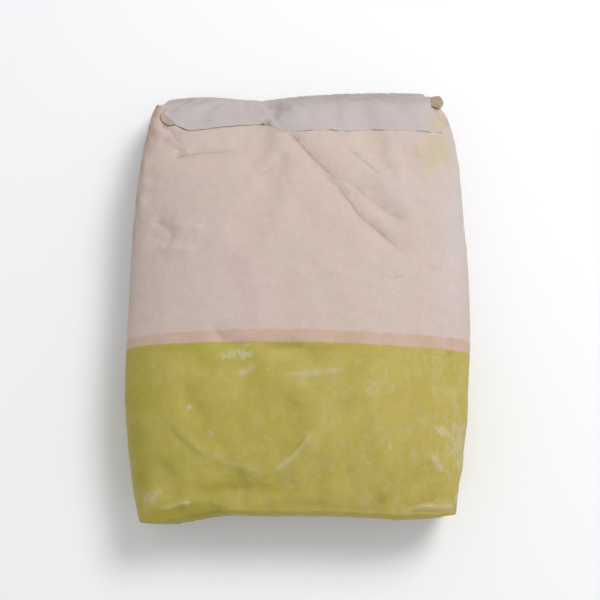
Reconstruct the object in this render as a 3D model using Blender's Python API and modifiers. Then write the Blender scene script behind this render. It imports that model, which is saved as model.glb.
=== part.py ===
"""A filled cement sack lying on its back, printed face up.

It is a pasted block-end paper sack. The tube wraps round both sides and is folded flat
at each end, and a strip of paper is glued over each folded end. A kraft sleeve, the
valve that the sack was filled through, is folded over in one corner of the top end.

Metres, +Z up. X runs across the sack, +Y towards its top end, and the middle of its
box's underside is the origin.
"""

import math
from dataclasses import dataclass

import bmesh
import bpy
from mathutils import Vector

# The sack, filled and lying down: half its length at the floor, and its crown's height
HALF_LENGTH = 0.248
CROWN_HEIGHT = 0.121

# Each long side: its widest station and half width there, its half width at the top end
# and how late it pulls in towards it, and the same two for the foot end
LEFT_SIDE = (-0.121, 0.1843, 0.1490, 4.04, 0.1660, 1.37)
RIGHT_SIDE = (-0.051, 0.1852, 0.1520, 3.62, 0.1640, 1.52)
SIDES_MEET = 0.6

# The cross section: how far the front drops at the ends, and how square the corners are
TOP_END_DROP = 0.030
FOOT_END_DROP = 0.027
END_DROP_POWER = 3.4
WIDEST_HEIGHT_SHARE = 0.45
FRONT_POWER = 2.6
UNDERSIDE_POWER = 3.4
END_POWER = 6.0
SQUARER_POWER = 4.0
FLOOR_CUT = 0.006

# The top end's panel: where its crease with the front face runs (x, distance back)
TOP_CREASE = ((-0.160, 0.076), (-0.123, 0.0735), (-0.036, 0.066), (-0.012, 0.044), (0.160, 0.044))
TOP_FOLD_SHARE = 0.12
TOP_UNDERSIDE_BACK = 0.012

# The foot end's panel leans in under the front face
FOOT_WIDEST_SHARE = 0.78
FOOT_UNDERSIDE_BACK = 0.024
FOOT_FRONT_BACK = 0.004
FOOT_MIDDLE_BACK = 0.0055

# Where the panels swell out or in: place across, width, reach
TOP_SWELLS = ((-0.041, 0.030, -0.0050), (-0.170, 0.030, -0.0060))
FOOT_SWELLS = ((-0.140, 0.042, 0.0075), (0.105, 0.050, 0.0035))

# The cage: cells across, along and up, and how often its points are moved to their place
CELLS = (20, 25, 10)
LAST_STATION = 1.0 - 2.0 / CELLS[1]
SETTLING_ROUNDS = 4

# The rows of cells that the cover strips reach down and up to, counted from the floor
STRIP_LOWEST_ROW = 2
FOOT_STRIP_HIGHEST_ROW = 7

# The lip of the top cover strip on the front face, left and right of the crease's turn
LIP_LEFT = 0.004
LIP_RIGHT = 0.030
LIP_TURN = (-0.040, -0.012)
LAST_CELL_UNDERSIDE = 0.024

# The papers leave out the outermost column of cells on each side. The valve sleeve has the
# next one on the left of the top end, above this row
FIRST_COLUMN = 1
LAST_COLUMN = CELLS[0] - 1
SLEEVE_LAST_COLUMN = 2
SLEEVE_LOWEST_ROW = 7

# Finishes: base colour, roughness
PRINTED_PAPER = ((0.56, 0.43, 0.31), 0.82)
STRIP_PAPER = ((0.55, 0.48, 0.47), 0.80)
KRAFT_PAPER = ((0.42, 0.27, 0.16), 0.85)

# The cage faces that each paper covers
SACK_FACE, TOP_STRIP_FACE, FOOT_STRIP_FACE, SLEEVE_FACE = range(4)

# On the unit block, whose sides are 1 from its middle, a point past this is on a side
FACE_SIDE = 0.999


@dataclass(frozen=True)
class LaidPaper:
    """A paper glued on the sack: its faces, its gap and thickness, and its edge's stand-in."""

    name: str
    faces: int
    gap: float
    thickness: float
    edge_in: float
    finish: tuple


PAPERS = (
    LaidPaper("top_cover_strip", TOP_STRIP_FACE, 0.0003, 0.0007, 0.0, STRIP_PAPER),
    LaidPaper("foot_cover_strip", FOOT_STRIP_FACE, 0.0003, 0.0007, 0.0, STRIP_PAPER),
    LaidPaper("valve_sleeve", SLEEVE_FACE, 0.0006, 0.0009, 0.0010, KRAFT_PAPER),
)


def clear_scene():
    """Removes every object that is there at the start."""
    for obj in list(bpy.data.objects):
        bpy.data.objects.remove(obj, do_unlink=True)


def paper_material(name, finish):
    """A plain paper finish from its base colour and roughness."""
    colour, roughness = finish
    material = bpy.data.materials.new(name)
    material.use_nodes = True
    shader = material.node_tree.nodes["Principled BSDF"]
    shader.inputs["Base Color"].default_value = (*colour, 1.0)
    shader.inputs["Roughness"].default_value = roughness
    shader.inputs["Metallic"].default_value = 0.0
    return material


def mix(a, b, share):
    """The value that lies this share of the way from a to b."""
    return a + (b - a) * share


def smooth_share(value, low, high):
    """0 below low, 1 above high, and an even turn between them."""
    share = min(max((value - low) / (high - low), 0.0), 1.0)
    return share * share * (3.0 - 2.0 * share)


def swell(x, swells):
    """How far the swells of a panel push it out at this place across."""
    return sum(reach * math.exp(-(((x - at) / width) ** 2)) for at, width, reach in swells)


def side_reach(y, widest_at, half_width, at_top, top_power, at_foot, foot_power):
    """How far a long side stands from the middle line at this station."""
    up = min(max((y - widest_at) / (HALF_LENGTH - widest_at), 0.0), 1.0)
    down = min(max((widest_at - y) / (HALF_LENGTH + widest_at), 0.0), 1.0)
    drop = (half_width - at_top) * up**top_power + (half_width - at_foot) * down**foot_power
    return half_width - drop


def half_width(u, y):
    """Half the sack's width on this side of the middle line, evened out across the middle."""
    left = side_reach(y, *LEFT_SIDE)
    right = side_reach(y, *RIGHT_SIDE)
    return mix(left, right, smooth_share(u, -SIDES_MEET, SIDES_MEET))


def section(u, v, w, y):
    """How far across and how high a point of the unit block lies, and the front's height."""
    shell = max(abs(u), abs(w))
    drop = (TOP_END_DROP if v > 0 else FOOT_END_DROP) * abs(v) ** END_DROP_POWER
    height = CROWN_HEIGHT - drop
    middle = height * WIDEST_HEIGHT_SHARE
    if shell == 0.0:
        return 0.0, middle, height
    u, w = u / shell, w / shell
    power = mix(FRONT_POWER if w > 0 else UNDERSIDE_POWER, END_POWER, abs(v) ** SQUARER_POWER)
    corner = 0.5 ** (1.0 / power)
    across, up = corner * u, corner * w
    if abs(w) >= abs(u):
        up = math.copysign((1.0 - abs(across) ** power) ** (1.0 / power), w)
    else:
        across = math.copysign((1.0 - abs(up) ** power) ** (1.0 / power), u)
    half_height = height - middle if up > 0 else middle + FLOOR_CUT
    return across * half_width(u, y) * shell, max(middle + up * half_height * shell, 0.0), height


def between(x, line):
    """The value of a line of (place, value) pairs at this place."""
    if x <= line[0][0]:
        return line[0][1]
    for (start, first), (end, last) in zip(line, line[1:]):
        if x <= end:
            return mix(first, last, (x - start) / (end - start))
    return line[-1][1]


def top_end_y(x, rise):
    """The top end slopes from just above the floor back to the crease at the front face."""
    climb = min(max((rise - TOP_FOLD_SHARE) / (1.0 - TOP_FOLD_SHARE), 0.0), 1.0)
    under = max(1.0 - rise / TOP_FOLD_SHARE, 0.0)
    back = between(x, TOP_CREASE) * climb + TOP_UNDERSIDE_BACK * under
    return HALF_LENGTH - back + swell(x, TOP_SWELLS)


def foot_end_y(x, rise):
    """The foot end leans in under the front face, and its corners reach further out."""
    lean = FOOT_UNDERSIDE_BACK * max(1.0 - rise / FOOT_WIDEST_SHARE, 0.0)
    above = max((rise - FOOT_WIDEST_SHARE) / (1.0 - FOOT_WIDEST_SHARE), 0.0)
    return FOOT_MIDDLE_BACK - HALF_LENGTH - swell(x, FOOT_SWELLS) + lean + FOOT_FRONT_BACK * above**2


def station_y(x, v, rise):
    """Where a cage point lies along the sack, and its even station there.

    The last cells hold the top strip's lip.
    """
    foot, top = foot_end_y(x, rise), top_end_y(x, rise)
    lip = mix(LIP_LEFT, LIP_RIGHT, smooth_share(x, *LIP_TURN))
    last_cell = mix(LAST_CELL_UNDERSIDE, lip, rise)
    if v > LAST_STATION:
        y = mix(top - last_cell, top, (v - LAST_STATION) / (1.0 - LAST_STATION))
    else:
        y = mix(foot, top - last_cell, (v + 1.0) / (LAST_STATION + 1.0))
    return y, 2.0 * (y - foot) / (top - foot) - 1.0


def sack_point(u, v, w):
    """Where the unit block's point (u, v, w) lies on the filled sack."""
    y, even_v = v * HALF_LENGTH, v
    for _ in range(SETTLING_ROUNDS):
        x, z, height = section(u, even_v, w, y)
        y, even_v = station_y(x, v, z / height)
    return x, y, z


def cut_block(mesh, cells):
    """Cuts the unit block into the given number of cells across, along and up."""
    for axis, count in enumerate(cells):
        along = [edge for edge in mesh.edges if edge.verts[0].co[axis] != edge.verts[1].co[axis]]
        bmesh.ops.subdivide_edges(mesh, edges=along, cuts=count - 1)


def paper_of(centre):
    """Which paper covers the cage face whose centre this is."""
    column, _, row = ((share + 1.0) / 2.0 * count for share, count in zip(centre, CELLS))
    if not FIRST_COLUMN < column < LAST_COLUMN or row < STRIP_LOWEST_ROW:
        return SACK_FACE
    if centre.y < -FACE_SIDE and row < FOOT_STRIP_HIGHEST_ROW:
        return FOOT_STRIP_FACE
    by_sleeve = column < SLEEVE_LAST_COLUMN and row > SLEEVE_LOWEST_ROW
    if centre.y > FACE_SIDE:
        return SLEEVE_FACE if by_sleeve else TOP_STRIP_FACE
    on_lip = centre.y > LAST_STATION and centre.z > FACE_SIDE
    return TOP_STRIP_FACE if on_lip and not by_sleeve else SACK_FACE


def add_sack(collection):
    """The filled sack, its faces marked with the paper that covers them."""
    mesh = bmesh.new()
    bmesh.ops.create_cube(mesh, size=2.0)
    cut_block(mesh, CELLS)
    for face in mesh.faces:
        face.material_index = paper_of(face.calc_center_median())
    for vert in mesh.verts:
        vert.co = sack_point(*vert.co)
    data = bpy.data.meshes.new("filled_sack")
    mesh.to_mesh(data)
    mesh.free()
    sack = bpy.data.objects.new("filled_sack", data)
    collection.objects.link(sack)
    return sack


def stand_edges_in(mesh, distance):
    """Moves the paper's outline in along its own faces by this much."""
    outline = [vert for vert in mesh.verts if vert.is_boundary]
    for vert in outline:
        middle = sum((face.calc_center_median() for face in vert.link_faces), Vector())
        inwards = middle / len(vert.link_faces) - vert.co
        vert.co += inwards.normalized() * distance


def lay_paper(sack, paper, collection):
    """A sheet of paper that follows the sack's surface over the faces marked for it."""
    data = bpy.data.meshes.new(paper.name)
    mesh = bmesh.new()
    mesh.from_mesh(sack.data)
    others = [face for face in mesh.faces if face.material_index != paper.faces]
    bmesh.ops.delete(mesh, geom=others, context="FACES")
    stand_edges_in(mesh, paper.edge_in)
    mesh.normal_update()
    for vert in mesh.verts:
        vert.co += vert.normal * paper.gap
    for face in mesh.faces:
        face.material_index = 0
    mesh.to_mesh(data)
    mesh.free()
    data.materials.append(paper_material(paper.name, paper.finish))
    sheet = bpy.data.objects.new(paper.name, data)
    collection.objects.link(sheet)
    wall = sheet.modifiers.new("paper_thickness", "SOLIDIFY")
    wall.thickness = paper.thickness
    wall.offset = 1.0
    wall.use_even_offset = True


def finish_sack(sack):
    """Gives the sack its printed paper, now that the strips have been taken from it."""
    for face in sack.data.polygons:
        face.material_index = 0
        face.use_smooth = True
    sack.data.materials.append(paper_material("filled_sack", PRINTED_PAPER))


def main():
    """Builds the sack and then the papers that lie on it."""
    clear_scene()
    collection = bpy.data.collections.new("cement_bag")
    bpy.context.scene.collection.children.link(collection)
    sack = add_sack(collection)
    for paper in PAPERS:
        lay_paper(sack, paper, collection)
    finish_sack(sack)


main()
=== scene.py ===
"""Looks of the filled cement sack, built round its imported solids.

The sack lies on its back, printed face up, and the camera looks down on it from the foot
side. Everything is in metres in the frame of the solids: +X to the right across the sack,
+Y along it to the top end, +Z up, with the floor at zero. Places that were read off the
photograph are pixels of it, counted from its left and upper edges.
"""

import logging
import math
from collections.abc import Callable
from dataclasses import dataclass, field
from enum import Enum

import bmesh
import bpy
import numpy as np
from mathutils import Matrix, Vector, noise
from mathutils.bvhtree import BVHTree

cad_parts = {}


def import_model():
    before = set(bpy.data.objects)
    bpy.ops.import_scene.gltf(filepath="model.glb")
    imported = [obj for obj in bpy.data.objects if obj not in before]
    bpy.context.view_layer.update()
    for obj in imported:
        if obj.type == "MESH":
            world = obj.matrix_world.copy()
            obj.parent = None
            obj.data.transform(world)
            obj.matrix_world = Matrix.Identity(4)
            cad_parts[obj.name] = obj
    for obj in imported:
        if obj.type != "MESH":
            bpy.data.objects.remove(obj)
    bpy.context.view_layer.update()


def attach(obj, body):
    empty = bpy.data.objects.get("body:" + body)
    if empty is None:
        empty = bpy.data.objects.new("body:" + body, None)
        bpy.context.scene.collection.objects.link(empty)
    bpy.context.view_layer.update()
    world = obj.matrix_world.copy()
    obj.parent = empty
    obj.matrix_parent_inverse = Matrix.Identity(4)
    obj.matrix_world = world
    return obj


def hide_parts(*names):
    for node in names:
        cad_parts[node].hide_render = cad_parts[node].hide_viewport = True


log = logging.getLogger("cement_bag")
PHOTO_WIDTH_PX = 600.0

Pixel = tuple[float, float]
Span = tuple[float, float]
Turn = tuple[float, float, float, float]
Colour = tuple[float, float, float]
Piece = bpy.types.Object


def smooth_share(value: np.ndarray, low: float, high: float) -> np.ndarray:
    """Turns values into shares: 0 below low, 1 above high, with an even turn between them."""
    share = np.clip((value - low) / (high - low), 0.0, 1.0)
    return share * share * (3.0 - 2.0 * share)


def mix(a: np.ndarray, b: np.ndarray, share: np.ndarray) -> np.ndarray:
    """Gives the values that lie this share of the way from a to b."""
    return a + (b - a) * share


def read(items: object, name: str, width: int, kind: type = np.float32) -> np.ndarray:
    """Reads one property of a mesh's points, normals or edges.

    Args:
        items: The collection that holds them.
        name: The property's name.
        width: How many numbers the property has.
        kind: What those numbers are.

    Returns:
        An array with a row for each item.
    """
    values = np.empty(len(items) * width, kind)
    items.foreach_get(name, values)
    return values.reshape(-1, width)


def points_of(mesh: bpy.types.Mesh) -> np.ndarray:
    """Reads a mesh's points."""
    return read(mesh.vertices, "co", 3).astype(float)


def normals_of(mesh: bpy.types.Mesh) -> np.ndarray:
    """Reads the normals at a mesh's points."""
    return read(mesh.vertex_normals, "vector", 3).astype(float)


def set_points(mesh: bpy.types.Mesh, points: np.ndarray) -> None:
    """Writes an array of points back to a mesh."""
    mesh.vertices.foreach_set("co", points.astype(np.float32).ravel())
    mesh.update()


def set_attribute(mesh: bpy.types.Mesh, name: str, values: np.ndarray) -> None:
    """Writes one number for each point under a name that a material can read."""
    layer = mesh.attributes.get(name) or mesh.attributes.new(name, "FLOAT", "POINT")
    layer.data.foreach_set("value", values.astype(np.float32))


def spread(mesh: bpy.types.Mesh, values: np.ndarray, rounds: int) -> np.ndarray:
    """Evens out values over a mesh by mixing each point's with its neighbours'.

    Args:
        mesh: The mesh that the values belong to.
        values: A number or a row for each point.
        rounds: How many times the values are mixed.

    Returns:
        The evened values.
    """
    ends = read(mesh.edges, "vertices", 2, np.int32)
    count = np.bincount(ends.ravel(), minlength=len(values)).astype(float)
    count = count.reshape((-1,) + (1,) * (values.ndim - 1))
    for _ in range(rounds):
        total = np.zeros_like(values, dtype=float)
        np.add.at(total, ends[:, 0], values[ends[:, 1]])
        np.add.at(total, ends[:, 1], values[ends[:, 0]])
        values = 0.5 * values + 0.5 * total / count
    return values


def waver(place: Vector) -> float:
    """Gives smooth noise, of about one either way, at a place."""
    return noise.fractal(place, 0.9, 2.0, 3)


def weigh(piece: Piece, name: str, weights: np.ndarray) -> bpy.types.VertexGroup:
    """Adds a group that holds a weight for each point.

    Args:
        piece: The piece that the points belong to.
        name: The group's name.
        weights: The weights, which are kept to the nearest hundredth.

    Returns:
        The group.
    """
    group = piece.vertex_groups.new(name=name)
    weights = np.round(weights, 2)
    for value in np.unique(weights):
        group.add(np.flatnonzero(weights == value).tolist(), float(value), "REPLACE")
    return group


def tree_of(piece: Piece) -> BVHTree:
    """Makes a piece's search tree."""
    return BVHTree.FromObject(piece, bpy.context.evaluated_depsgraph_get())


def named(name: str) -> Piece:
    """Gives a name to the primitive that was just added.

    Args:
        name: The name of the object and its mesh.

    Returns:
        The object.
    """
    piece = bpy.context.object
    piece.name = piece.data.name = name
    return piece


def choose_only(piece: Piece) -> None:
    """Deselects everything and makes one piece the chosen and active one.

    Args:
        piece: That piece.
    """
    if bpy.context.mode != "OBJECT":
        bpy.ops.object.mode_set(mode="OBJECT")
    bpy.ops.object.select_all(action="DESELECT")
    piece.select_set(True)
    bpy.context.view_layer.objects.active = piece


def select_where(piece: Piece, kind: str, rule: Callable[[object], bool]) -> None:
    """Enters edit mode and selects the edges or faces that a rule picks.

    Args:
        piece: The piece that is being shaped.
        kind: EDGE or FACE.
        rule: Says of one of them whether it is selected.
    """
    choose_only(piece)
    bpy.ops.object.mode_set(mode="EDIT")
    bpy.ops.mesh.select_mode(type=kind)
    bpy.ops.mesh.select_all(action="DESELECT")
    mesh = bmesh.from_edit_mesh(piece.data)
    for item in mesh.edges if kind == "EDGE" else mesh.faces:
        item.select_set(rule(item))
    bmesh.update_edit_mesh(piece.data)


def finish_with(piece: Piece, name: str, kind: str, **settings: object) -> None:
    """Adds a modifier to a piece and applies it.

    Args:
        piece: The piece.
        name: The modifier's name.
        kind: The modifier's kind.
        settings: Its settings by their names.
    """
    modifier = piece.modifiers.new(name, kind)
    for setting, value in settings.items():
        setattr(modifier, setting, value)
    choose_only(piece)
    bpy.ops.object.modifier_apply(modifier=modifier.name)


@dataclass(frozen=True)
class Viewpoint:
    """The place that the photograph was taken from.

    The sack is seen from its foot side, from high above, without any turn to the side.
    """

    elevation_deg: float = 77.0
    distance: float = 1.5
    target: tuple[float, float, float] = (0.0022, -0.0085, 0.060)
    focal_px: float = 1386.5
    sensor: float = 36.0
    middle: float = PHOTO_WIDTH_PX / 2.0
    clip: Span = (0.05, 50.0)

    @property
    def back(self) -> Vector:
        """The direction from the sack to the camera."""
        tilt = math.radians(self.elevation_deg)
        return Vector((0.0, -math.cos(tilt), math.sin(tilt)))

    @property
    def up(self) -> Vector:
        """The direction that is upwards in the picture."""
        tilt = math.radians(self.elevation_deg)
        return Vector((0.0, math.sin(tilt), math.cos(tilt)))

    @property
    def place(self) -> Vector:
        """Where the camera stands."""
        return Vector(self.target) + self.back * self.distance

    def ray(self, pixel: Pixel) -> Vector:
        """Gives the unit direction in which the camera sees a pixel."""
        aside = Vector((pixel[0] - self.middle, 0.0, 0.0))
        return (aside - self.back * self.focal_px + self.up * (self.middle - pixel[1])).normalized()

    def meet(self, surface: BVHTree, pixel: Pixel) -> Vector:
        """Gives the point of a surface that the camera sees at a pixel.

        Args:
            surface: The surface's search tree.
            pixel: The photograph's pixel.

        Returns:
            The point, or the surface's nearest one where the pixel misses it.
        """
        way = self.ray(pixel)
        point = surface.ray_cast(self.place, way)[0]
        return surface.find_nearest(self.place + way * self.distance)[0] if point is None else point

    def at_height(self, pixel: Pixel, height: float) -> Vector:
        """Gives the point at a height above the floor that the camera sees at a pixel."""
        way = self.ray(pixel)
        return self.place + way * ((height - self.place.z) / way.z)

    def pixels(self, points: np.ndarray) -> np.ndarray:
        """Gives the pixels at which the camera sees points.

        Args:
            points: The points, a row for each.

        Returns:
            Their pixels, a row for each.
        """
        tilt = math.radians(self.elevation_deg)
        offset = points - np.array(self.target)
        depth = self.distance + offset[:, 1] * math.cos(tilt) - offset[:, 2] * math.sin(tilt)
        up = offset[:, 1] * math.sin(tilt) + offset[:, 2] * math.cos(tilt)
        return np.column_stack([self.middle + self.focal_px * offset[:, 0] / depth,
                                self.middle - self.focal_px * up / depth])

    def add_camera(self) -> None:
        """Adds the camera and makes it the scene's own."""
        data = bpy.data.cameras.new("photo_camera")
        data.sensor_width = self.sensor
        data.lens = self.focal_px * self.sensor / PHOTO_WIDTH_PX
        data.clip_start, data.clip_end = self.clip
        camera = bpy.data.objects.new("photo_camera", data)
        camera.location = self.place
        camera.rotation_euler = (math.radians(90.0 - self.elevation_deg), 0.0, 0.0)
        bpy.context.scene.collection.objects.link(camera)
        bpy.context.scene.camera = camera


@dataclass(frozen=True)
class SideLine:
    """How one long side of the sack runs, seen from above.

    The side is furthest out at one station and pulls in towards both block ends.
    """

    widest_at: float
    half_width: float
    top_half_width: float
    top_power: float
    foot_half_width: float
    foot_power: float

    def reach(self, y: np.ndarray, half_length: float) -> np.ndarray:
        """Gives how far the side stands from the middle line at each station.

        Args:
            y: Stations along the sack.
            half_length: Half the sack's length.

        Returns:
            The distances from the middle line.
        """
        up = np.clip((y - self.widest_at) / (half_length - self.widest_at), 0.0, 1.0)
        down = np.clip((self.widest_at - y) / (half_length + self.widest_at), 0.0, 1.0)
        drop_up = (self.half_width - self.top_half_width) * up**self.top_power
        return self.half_width - drop_up - (self.half_width - self.foot_half_width) * down**self.foot_power


@dataclass(frozen=True)
class Swell:
    """A place across a block end where its panel stands out, or in if its reach is negative."""

    at: float
    width: float
    reach: float

    def push(self, x: np.ndarray) -> np.ndarray:
        """Gives how far the panel is moved at each place across."""
        return self.reach * np.exp(-(((x - self.at) / self.width) ** 2))


@dataclass(frozen=True)
class SackForm:
    """The smooth shape of the filled sack, before its paper creases.

    A point is named by its share across (u), along (v) and up (w), each from -1 to 1, on
    the surface of a unit block.
    """

    half_length: float = 0.2480
    crown: float = 0.1210
    left: SideLine = SideLine(-0.121, 0.1843, 0.1490, 4.04, 0.1660, 1.37)
    right: SideLine = SideLine(-0.051, 0.1852, 0.1520, 3.62, 0.1640, 1.52)
    sides_blend: float = 0.6
    top_drop: float = 0.030
    foot_drop: float = 0.027
    end_drop_power: float = 3.4
    widest_height_share: float = 0.45
    front_power: float = 2.6
    underside_power: float = 3.4
    end_power: float = 6.0
    squarer_power: float = 4.0
    floor_cut: float = 0.006
    top_crease_back: tuple[Pixel, ...] = (
        (-0.160, 0.076), (-0.123, 0.0735), (-0.036, 0.066), (-0.012, 0.044), (0.160, 0.044))
    top_fold_share: float = 0.12
    top_underside_back: float = 0.012
    foot_widest_share: float = 0.78
    foot_underside_back: float = 0.024
    foot_front_back: float = 0.004
    foot_middle_back: float = 0.0055
    top_swells: tuple[Swell, ...] = (Swell(-0.041, 0.030, -0.0050), Swell(-0.170, 0.030, -0.003))
    foot_swells: tuple[Swell, ...] = (Swell(-0.140, 0.042, 0.0075), Swell(0.105, 0.050, 0.0035))
    cells: tuple[int, int, int] = (18, 24, 8)
    placing_rounds: int = 3

    def section(self, block: np.ndarray, y: np.ndarray) -> tuple[np.ndarray, np.ndarray, np.ndarray]:
        """Places the block's points in the sack's cross sections.

        Args:
            block: Points on the unit block, a row for each.
            y: The station of each point along the sack.

        Returns:
            How far across and how high each point lies, and the front face's height there.
        """
        u, v, w = block.T
        shell = np.maximum(np.maximum(np.abs(u), np.abs(w)), 1e-9)
        u, w = u / shell, w / shell
        drop = np.where(v > 0.0, self.top_drop, self.foot_drop) * np.abs(v) ** self.end_drop_power
        height = self.crown - drop
        middle = height * self.widest_height_share
        round_power = np.where(w > 0.0, self.front_power, self.underside_power)
        power = mix(round_power, self.end_power, np.abs(v) ** self.squarer_power)
        corner = 0.5 ** (1.0 / power)
        faces_up = np.abs(w) >= np.abs(u)
        across, up = corner * u, corner * w
        rounded_up = np.sign(w) * (1.0 - np.abs(across) ** power) ** (1.0 / power)
        rounded_across = np.sign(u) * (1.0 - np.abs(up) ** power) ** (1.0 / power)
        across, up = np.where(faces_up, across, rounded_across), np.where(faces_up, rounded_up, up)
        left, right = self.left.reach(y, self.half_length), self.right.reach(y, self.half_length)
        half_width = mix(left, right, smooth_share(u, -self.sides_blend, self.sides_blend))
        half_height = np.where(up > 0.0, height - middle, middle + self.floor_cut)
        z = np.maximum(middle + up * half_height * shell, 0.0)
        return across * half_width * shell, z, height

    def top_end(self, x: np.ndarray, rise: np.ndarray) -> np.ndarray:
        """Gives the station of the top end's panel, which slopes back to its front crease.

        Args:
            x: How far across each point lies.
            rise: The share of the front face's height at which it lies.

        Returns:
            The stations.
        """
        back = np.interp(x, *zip(*self.top_crease_back))
        climb = np.clip((rise - self.top_fold_share) / (1.0 - self.top_fold_share), 0.0, 1.0)
        under = np.clip(1.0 - rise / self.top_fold_share, 0.0, 1.0)
        swell = sum(swell.push(x) for swell in self.top_swells)
        return self.half_length - back * climb - self.top_underside_back * under + swell

    def foot_end(self, x: np.ndarray, rise: np.ndarray) -> np.ndarray:
        """Gives the station of the foot end's panel, which leans in under the front face.

        Args:
            x: How far across each point lies.
            rise: The share of the front face's height at which it lies.

        Returns:
            The stations.
        """
        lean = self.foot_underside_back * np.clip(1.0 - rise / self.foot_widest_share, 0.0, 1.0)
        above = np.clip((rise - self.foot_widest_share) / (1.0 - self.foot_widest_share), 0.0, 1.0)
        swell = sum(swell.push(x) for swell in self.foot_swells)
        return self.foot_middle_back - self.half_length - swell + lean + self.foot_front_back * above**2

    def place(self, block: np.ndarray) -> np.ndarray:
        """Moves points of the unit block to where they lie on the filled sack.

        Args:
            block: Points on the block, a row for each.

        Returns:
            Points on the sack, in the same order.
        """
        along = (block[:, 1] + 1.0) / 2.0
        y = block[:, 1] * self.half_length
        for _ in range(self.placing_rounds):
            x, z, height = self.section(block, y)
            rise = z / height
            y = mix(self.foot_end(x, rise), self.top_end(x, rise), along)
        return np.column_stack([x, y, z])

    def girth(self, v: float, steps: int = 200) -> float:
        """Measures the paper round the sack.

        Args:
            v: The share along the sack.
            steps: How many points it is measured by on each of the block's sides.

        Returns:
            The paper's length.
        """
        way = np.linspace(-1.0, 1.0, steps)
        one = np.ones(steps)
        loop = np.concatenate([np.column_stack([u, one * v, w]) for u, w in (
            (way, one), (one, -way), (-way, -one), (-one, way))])
        ring = self.place(loop)[:, [0, 2]]
        return float(np.linalg.norm(np.diff(ring, axis=0), axis=1).sum())


@dataclass(frozen=True)
class PaperSettling:
    """The cloth simulation in which the tube's spare paper settles into soft folds.

    The tube was made with one girth all along, and the filled sack is narrower at its block
    ends, so the paper there has length to spare. It buckles against the cement, which holds
    every point lightly to its place.
    """

    girth: float = 0.861
    spare_share: float = 0.5
    frames: int = 18
    hold_on_cement: float = 0.12
    hold_at_ends: float = 0.50
    end_faces: float = 0.75
    hold_on_floor: float = 0.95
    floor_height: float = 0.004
    hold_spread: int = 6
    most_movement: float = 0.0055
    calm_foot: float = 0.6
    foot_from: Span = (0.205, 0.238)
    stations: int = 33
    merge_nothing: float = 1e-7
    paper: dict[str, object] = field(default_factory=lambda: {
        "quality": 6, "mass": 0.15, "air_damping": 3.0, "tension_stiffness": 60.0,
        "compression_stiffness": 60.0, "shear_stiffness": 30.0, "tension_damping": 10.0,
        "compression_damping": 10.0, "shear_damping": 10.0, "bending_model": "ANGULAR",
        "bending_stiffness": 20.0, "bending_damping": 1.0, "pin_stiffness": 1.0,
        "use_pressure": True, "uniform_pressure_force": 1.0})

    def flat_shape(self, points: np.ndarray, form: SackForm) -> np.ndarray:
        """Gives the points of a tube that has the girth that the paper was cut to.

        Args:
            points: The sack's points.
            form: The shape that they lie on.

        Returns:
            The same points, further from the sack's middle line where paper is to spare.
        """
        shares = np.linspace(-1.0, 1.0, self.stations)
        spare = np.array([self.girth / form.girth(share) for share in shares]) - 1.0
        growth = 1.0 + self.spare_share * np.interp(points[:, 1] / form.half_length, shares, spare)
        return points * np.column_stack([growth, np.ones_like(growth), growth])

    def hold(self, sack: Piece, points: np.ndarray) -> bpy.types.VertexGroup:
        """Weights how strongly each point is held where it lies.

        Args:
            sack: The sack's paper.
            points: Its points.

        Returns:
            The group of weights.
        """
        weight = np.full(len(points), self.hold_on_cement)
        weight[np.abs(normals_of(sack.data)[:, 1]) > self.end_faces] = self.hold_at_ends
        weight[points[:, 2] < self.floor_height] = self.hold_on_floor
        return weigh(sack, "held", spread(sack.data, weight, self.hold_spread))

    def add_cloth(self, sack: Piece, rest: bpy.types.ShapeKey, held: str) -> None:
        """Adds the cloth modifier, with its paper stiff in its plane and springy when bent.

        Cloth takes other rest lengths only behind a modifier that could change the mesh.

        Args:
            sack: The sack's paper.
            rest: The shape whose edge lengths the paper tries to keep.
            held: The name of the group of weights that hold it.
        """
        sack.modifiers.new("rest_lengths", "WELD").merge_threshold = self.merge_nothing
        cloth = sack.modifiers.new("paper", "CLOTH")
        for setting, value in self.paper.items():
            setattr(cloth.settings, setting, value)
        cloth.settings.vertex_group_mass = held
        cloth.settings.rest_shape_key = rest
        cloth.settings.effector_weights.gravity = 0.0
        cloth.collision_settings.use_collision = False
        cloth.point_cache.frame_start, cloth.point_cache.frame_end = 1, self.frames + 1

    def settle(self, sack: Piece, form: SackForm) -> None:
        """Runs the simulation and keeps its result in the mesh, each movement capped.

        Args:
            sack: The sack's paper.
            form: The shape that it lies on.
        """
        points = points_of(sack.data)
        held = self.hold(sack, points)
        sack.shape_key_add(name="filled")
        rest = sack.shape_key_add(name="flat_paper")
        rest.data.foreach_set("co", self.flat_shape(points, form).astype(np.float32).ravel())
        self.add_cloth(sack, rest, held.name)
        scene = bpy.context.scene
        for frame in range(1, self.frames + 1):
            scene.frame_set(frame)
        settled = sack.evaluated_get(bpy.context.evaluated_depsgraph_get())
        moved = points_of(settled.to_mesh()) - points
        settled.to_mesh_clear()
        sack.modifiers.clear()
        sack.shape_key_clear()
        sack.vertex_groups.clear()
        scene.frame_set(1)
        length = np.linalg.norm(moved, axis=1, keepdims=True)
        kept = self.most_movement * np.tanh(length / self.most_movement) / np.maximum(length, 1e-9)
        calm = 1.0 - self.calm_foot * smooth_share(-points[:, 1], *self.foot_from)
        points += moved * kept * calm[:, None]
        points[:, 2] = np.maximum(points[:, 2], 0.0)
        set_points(sack.data, points)


class Fold(Enum):
    """How the paper stands along a crease."""

    VALLEY = "valley"
    RIDGE = "ridge"
    STEP = "step"
    HINGE = "hinge"


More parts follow.
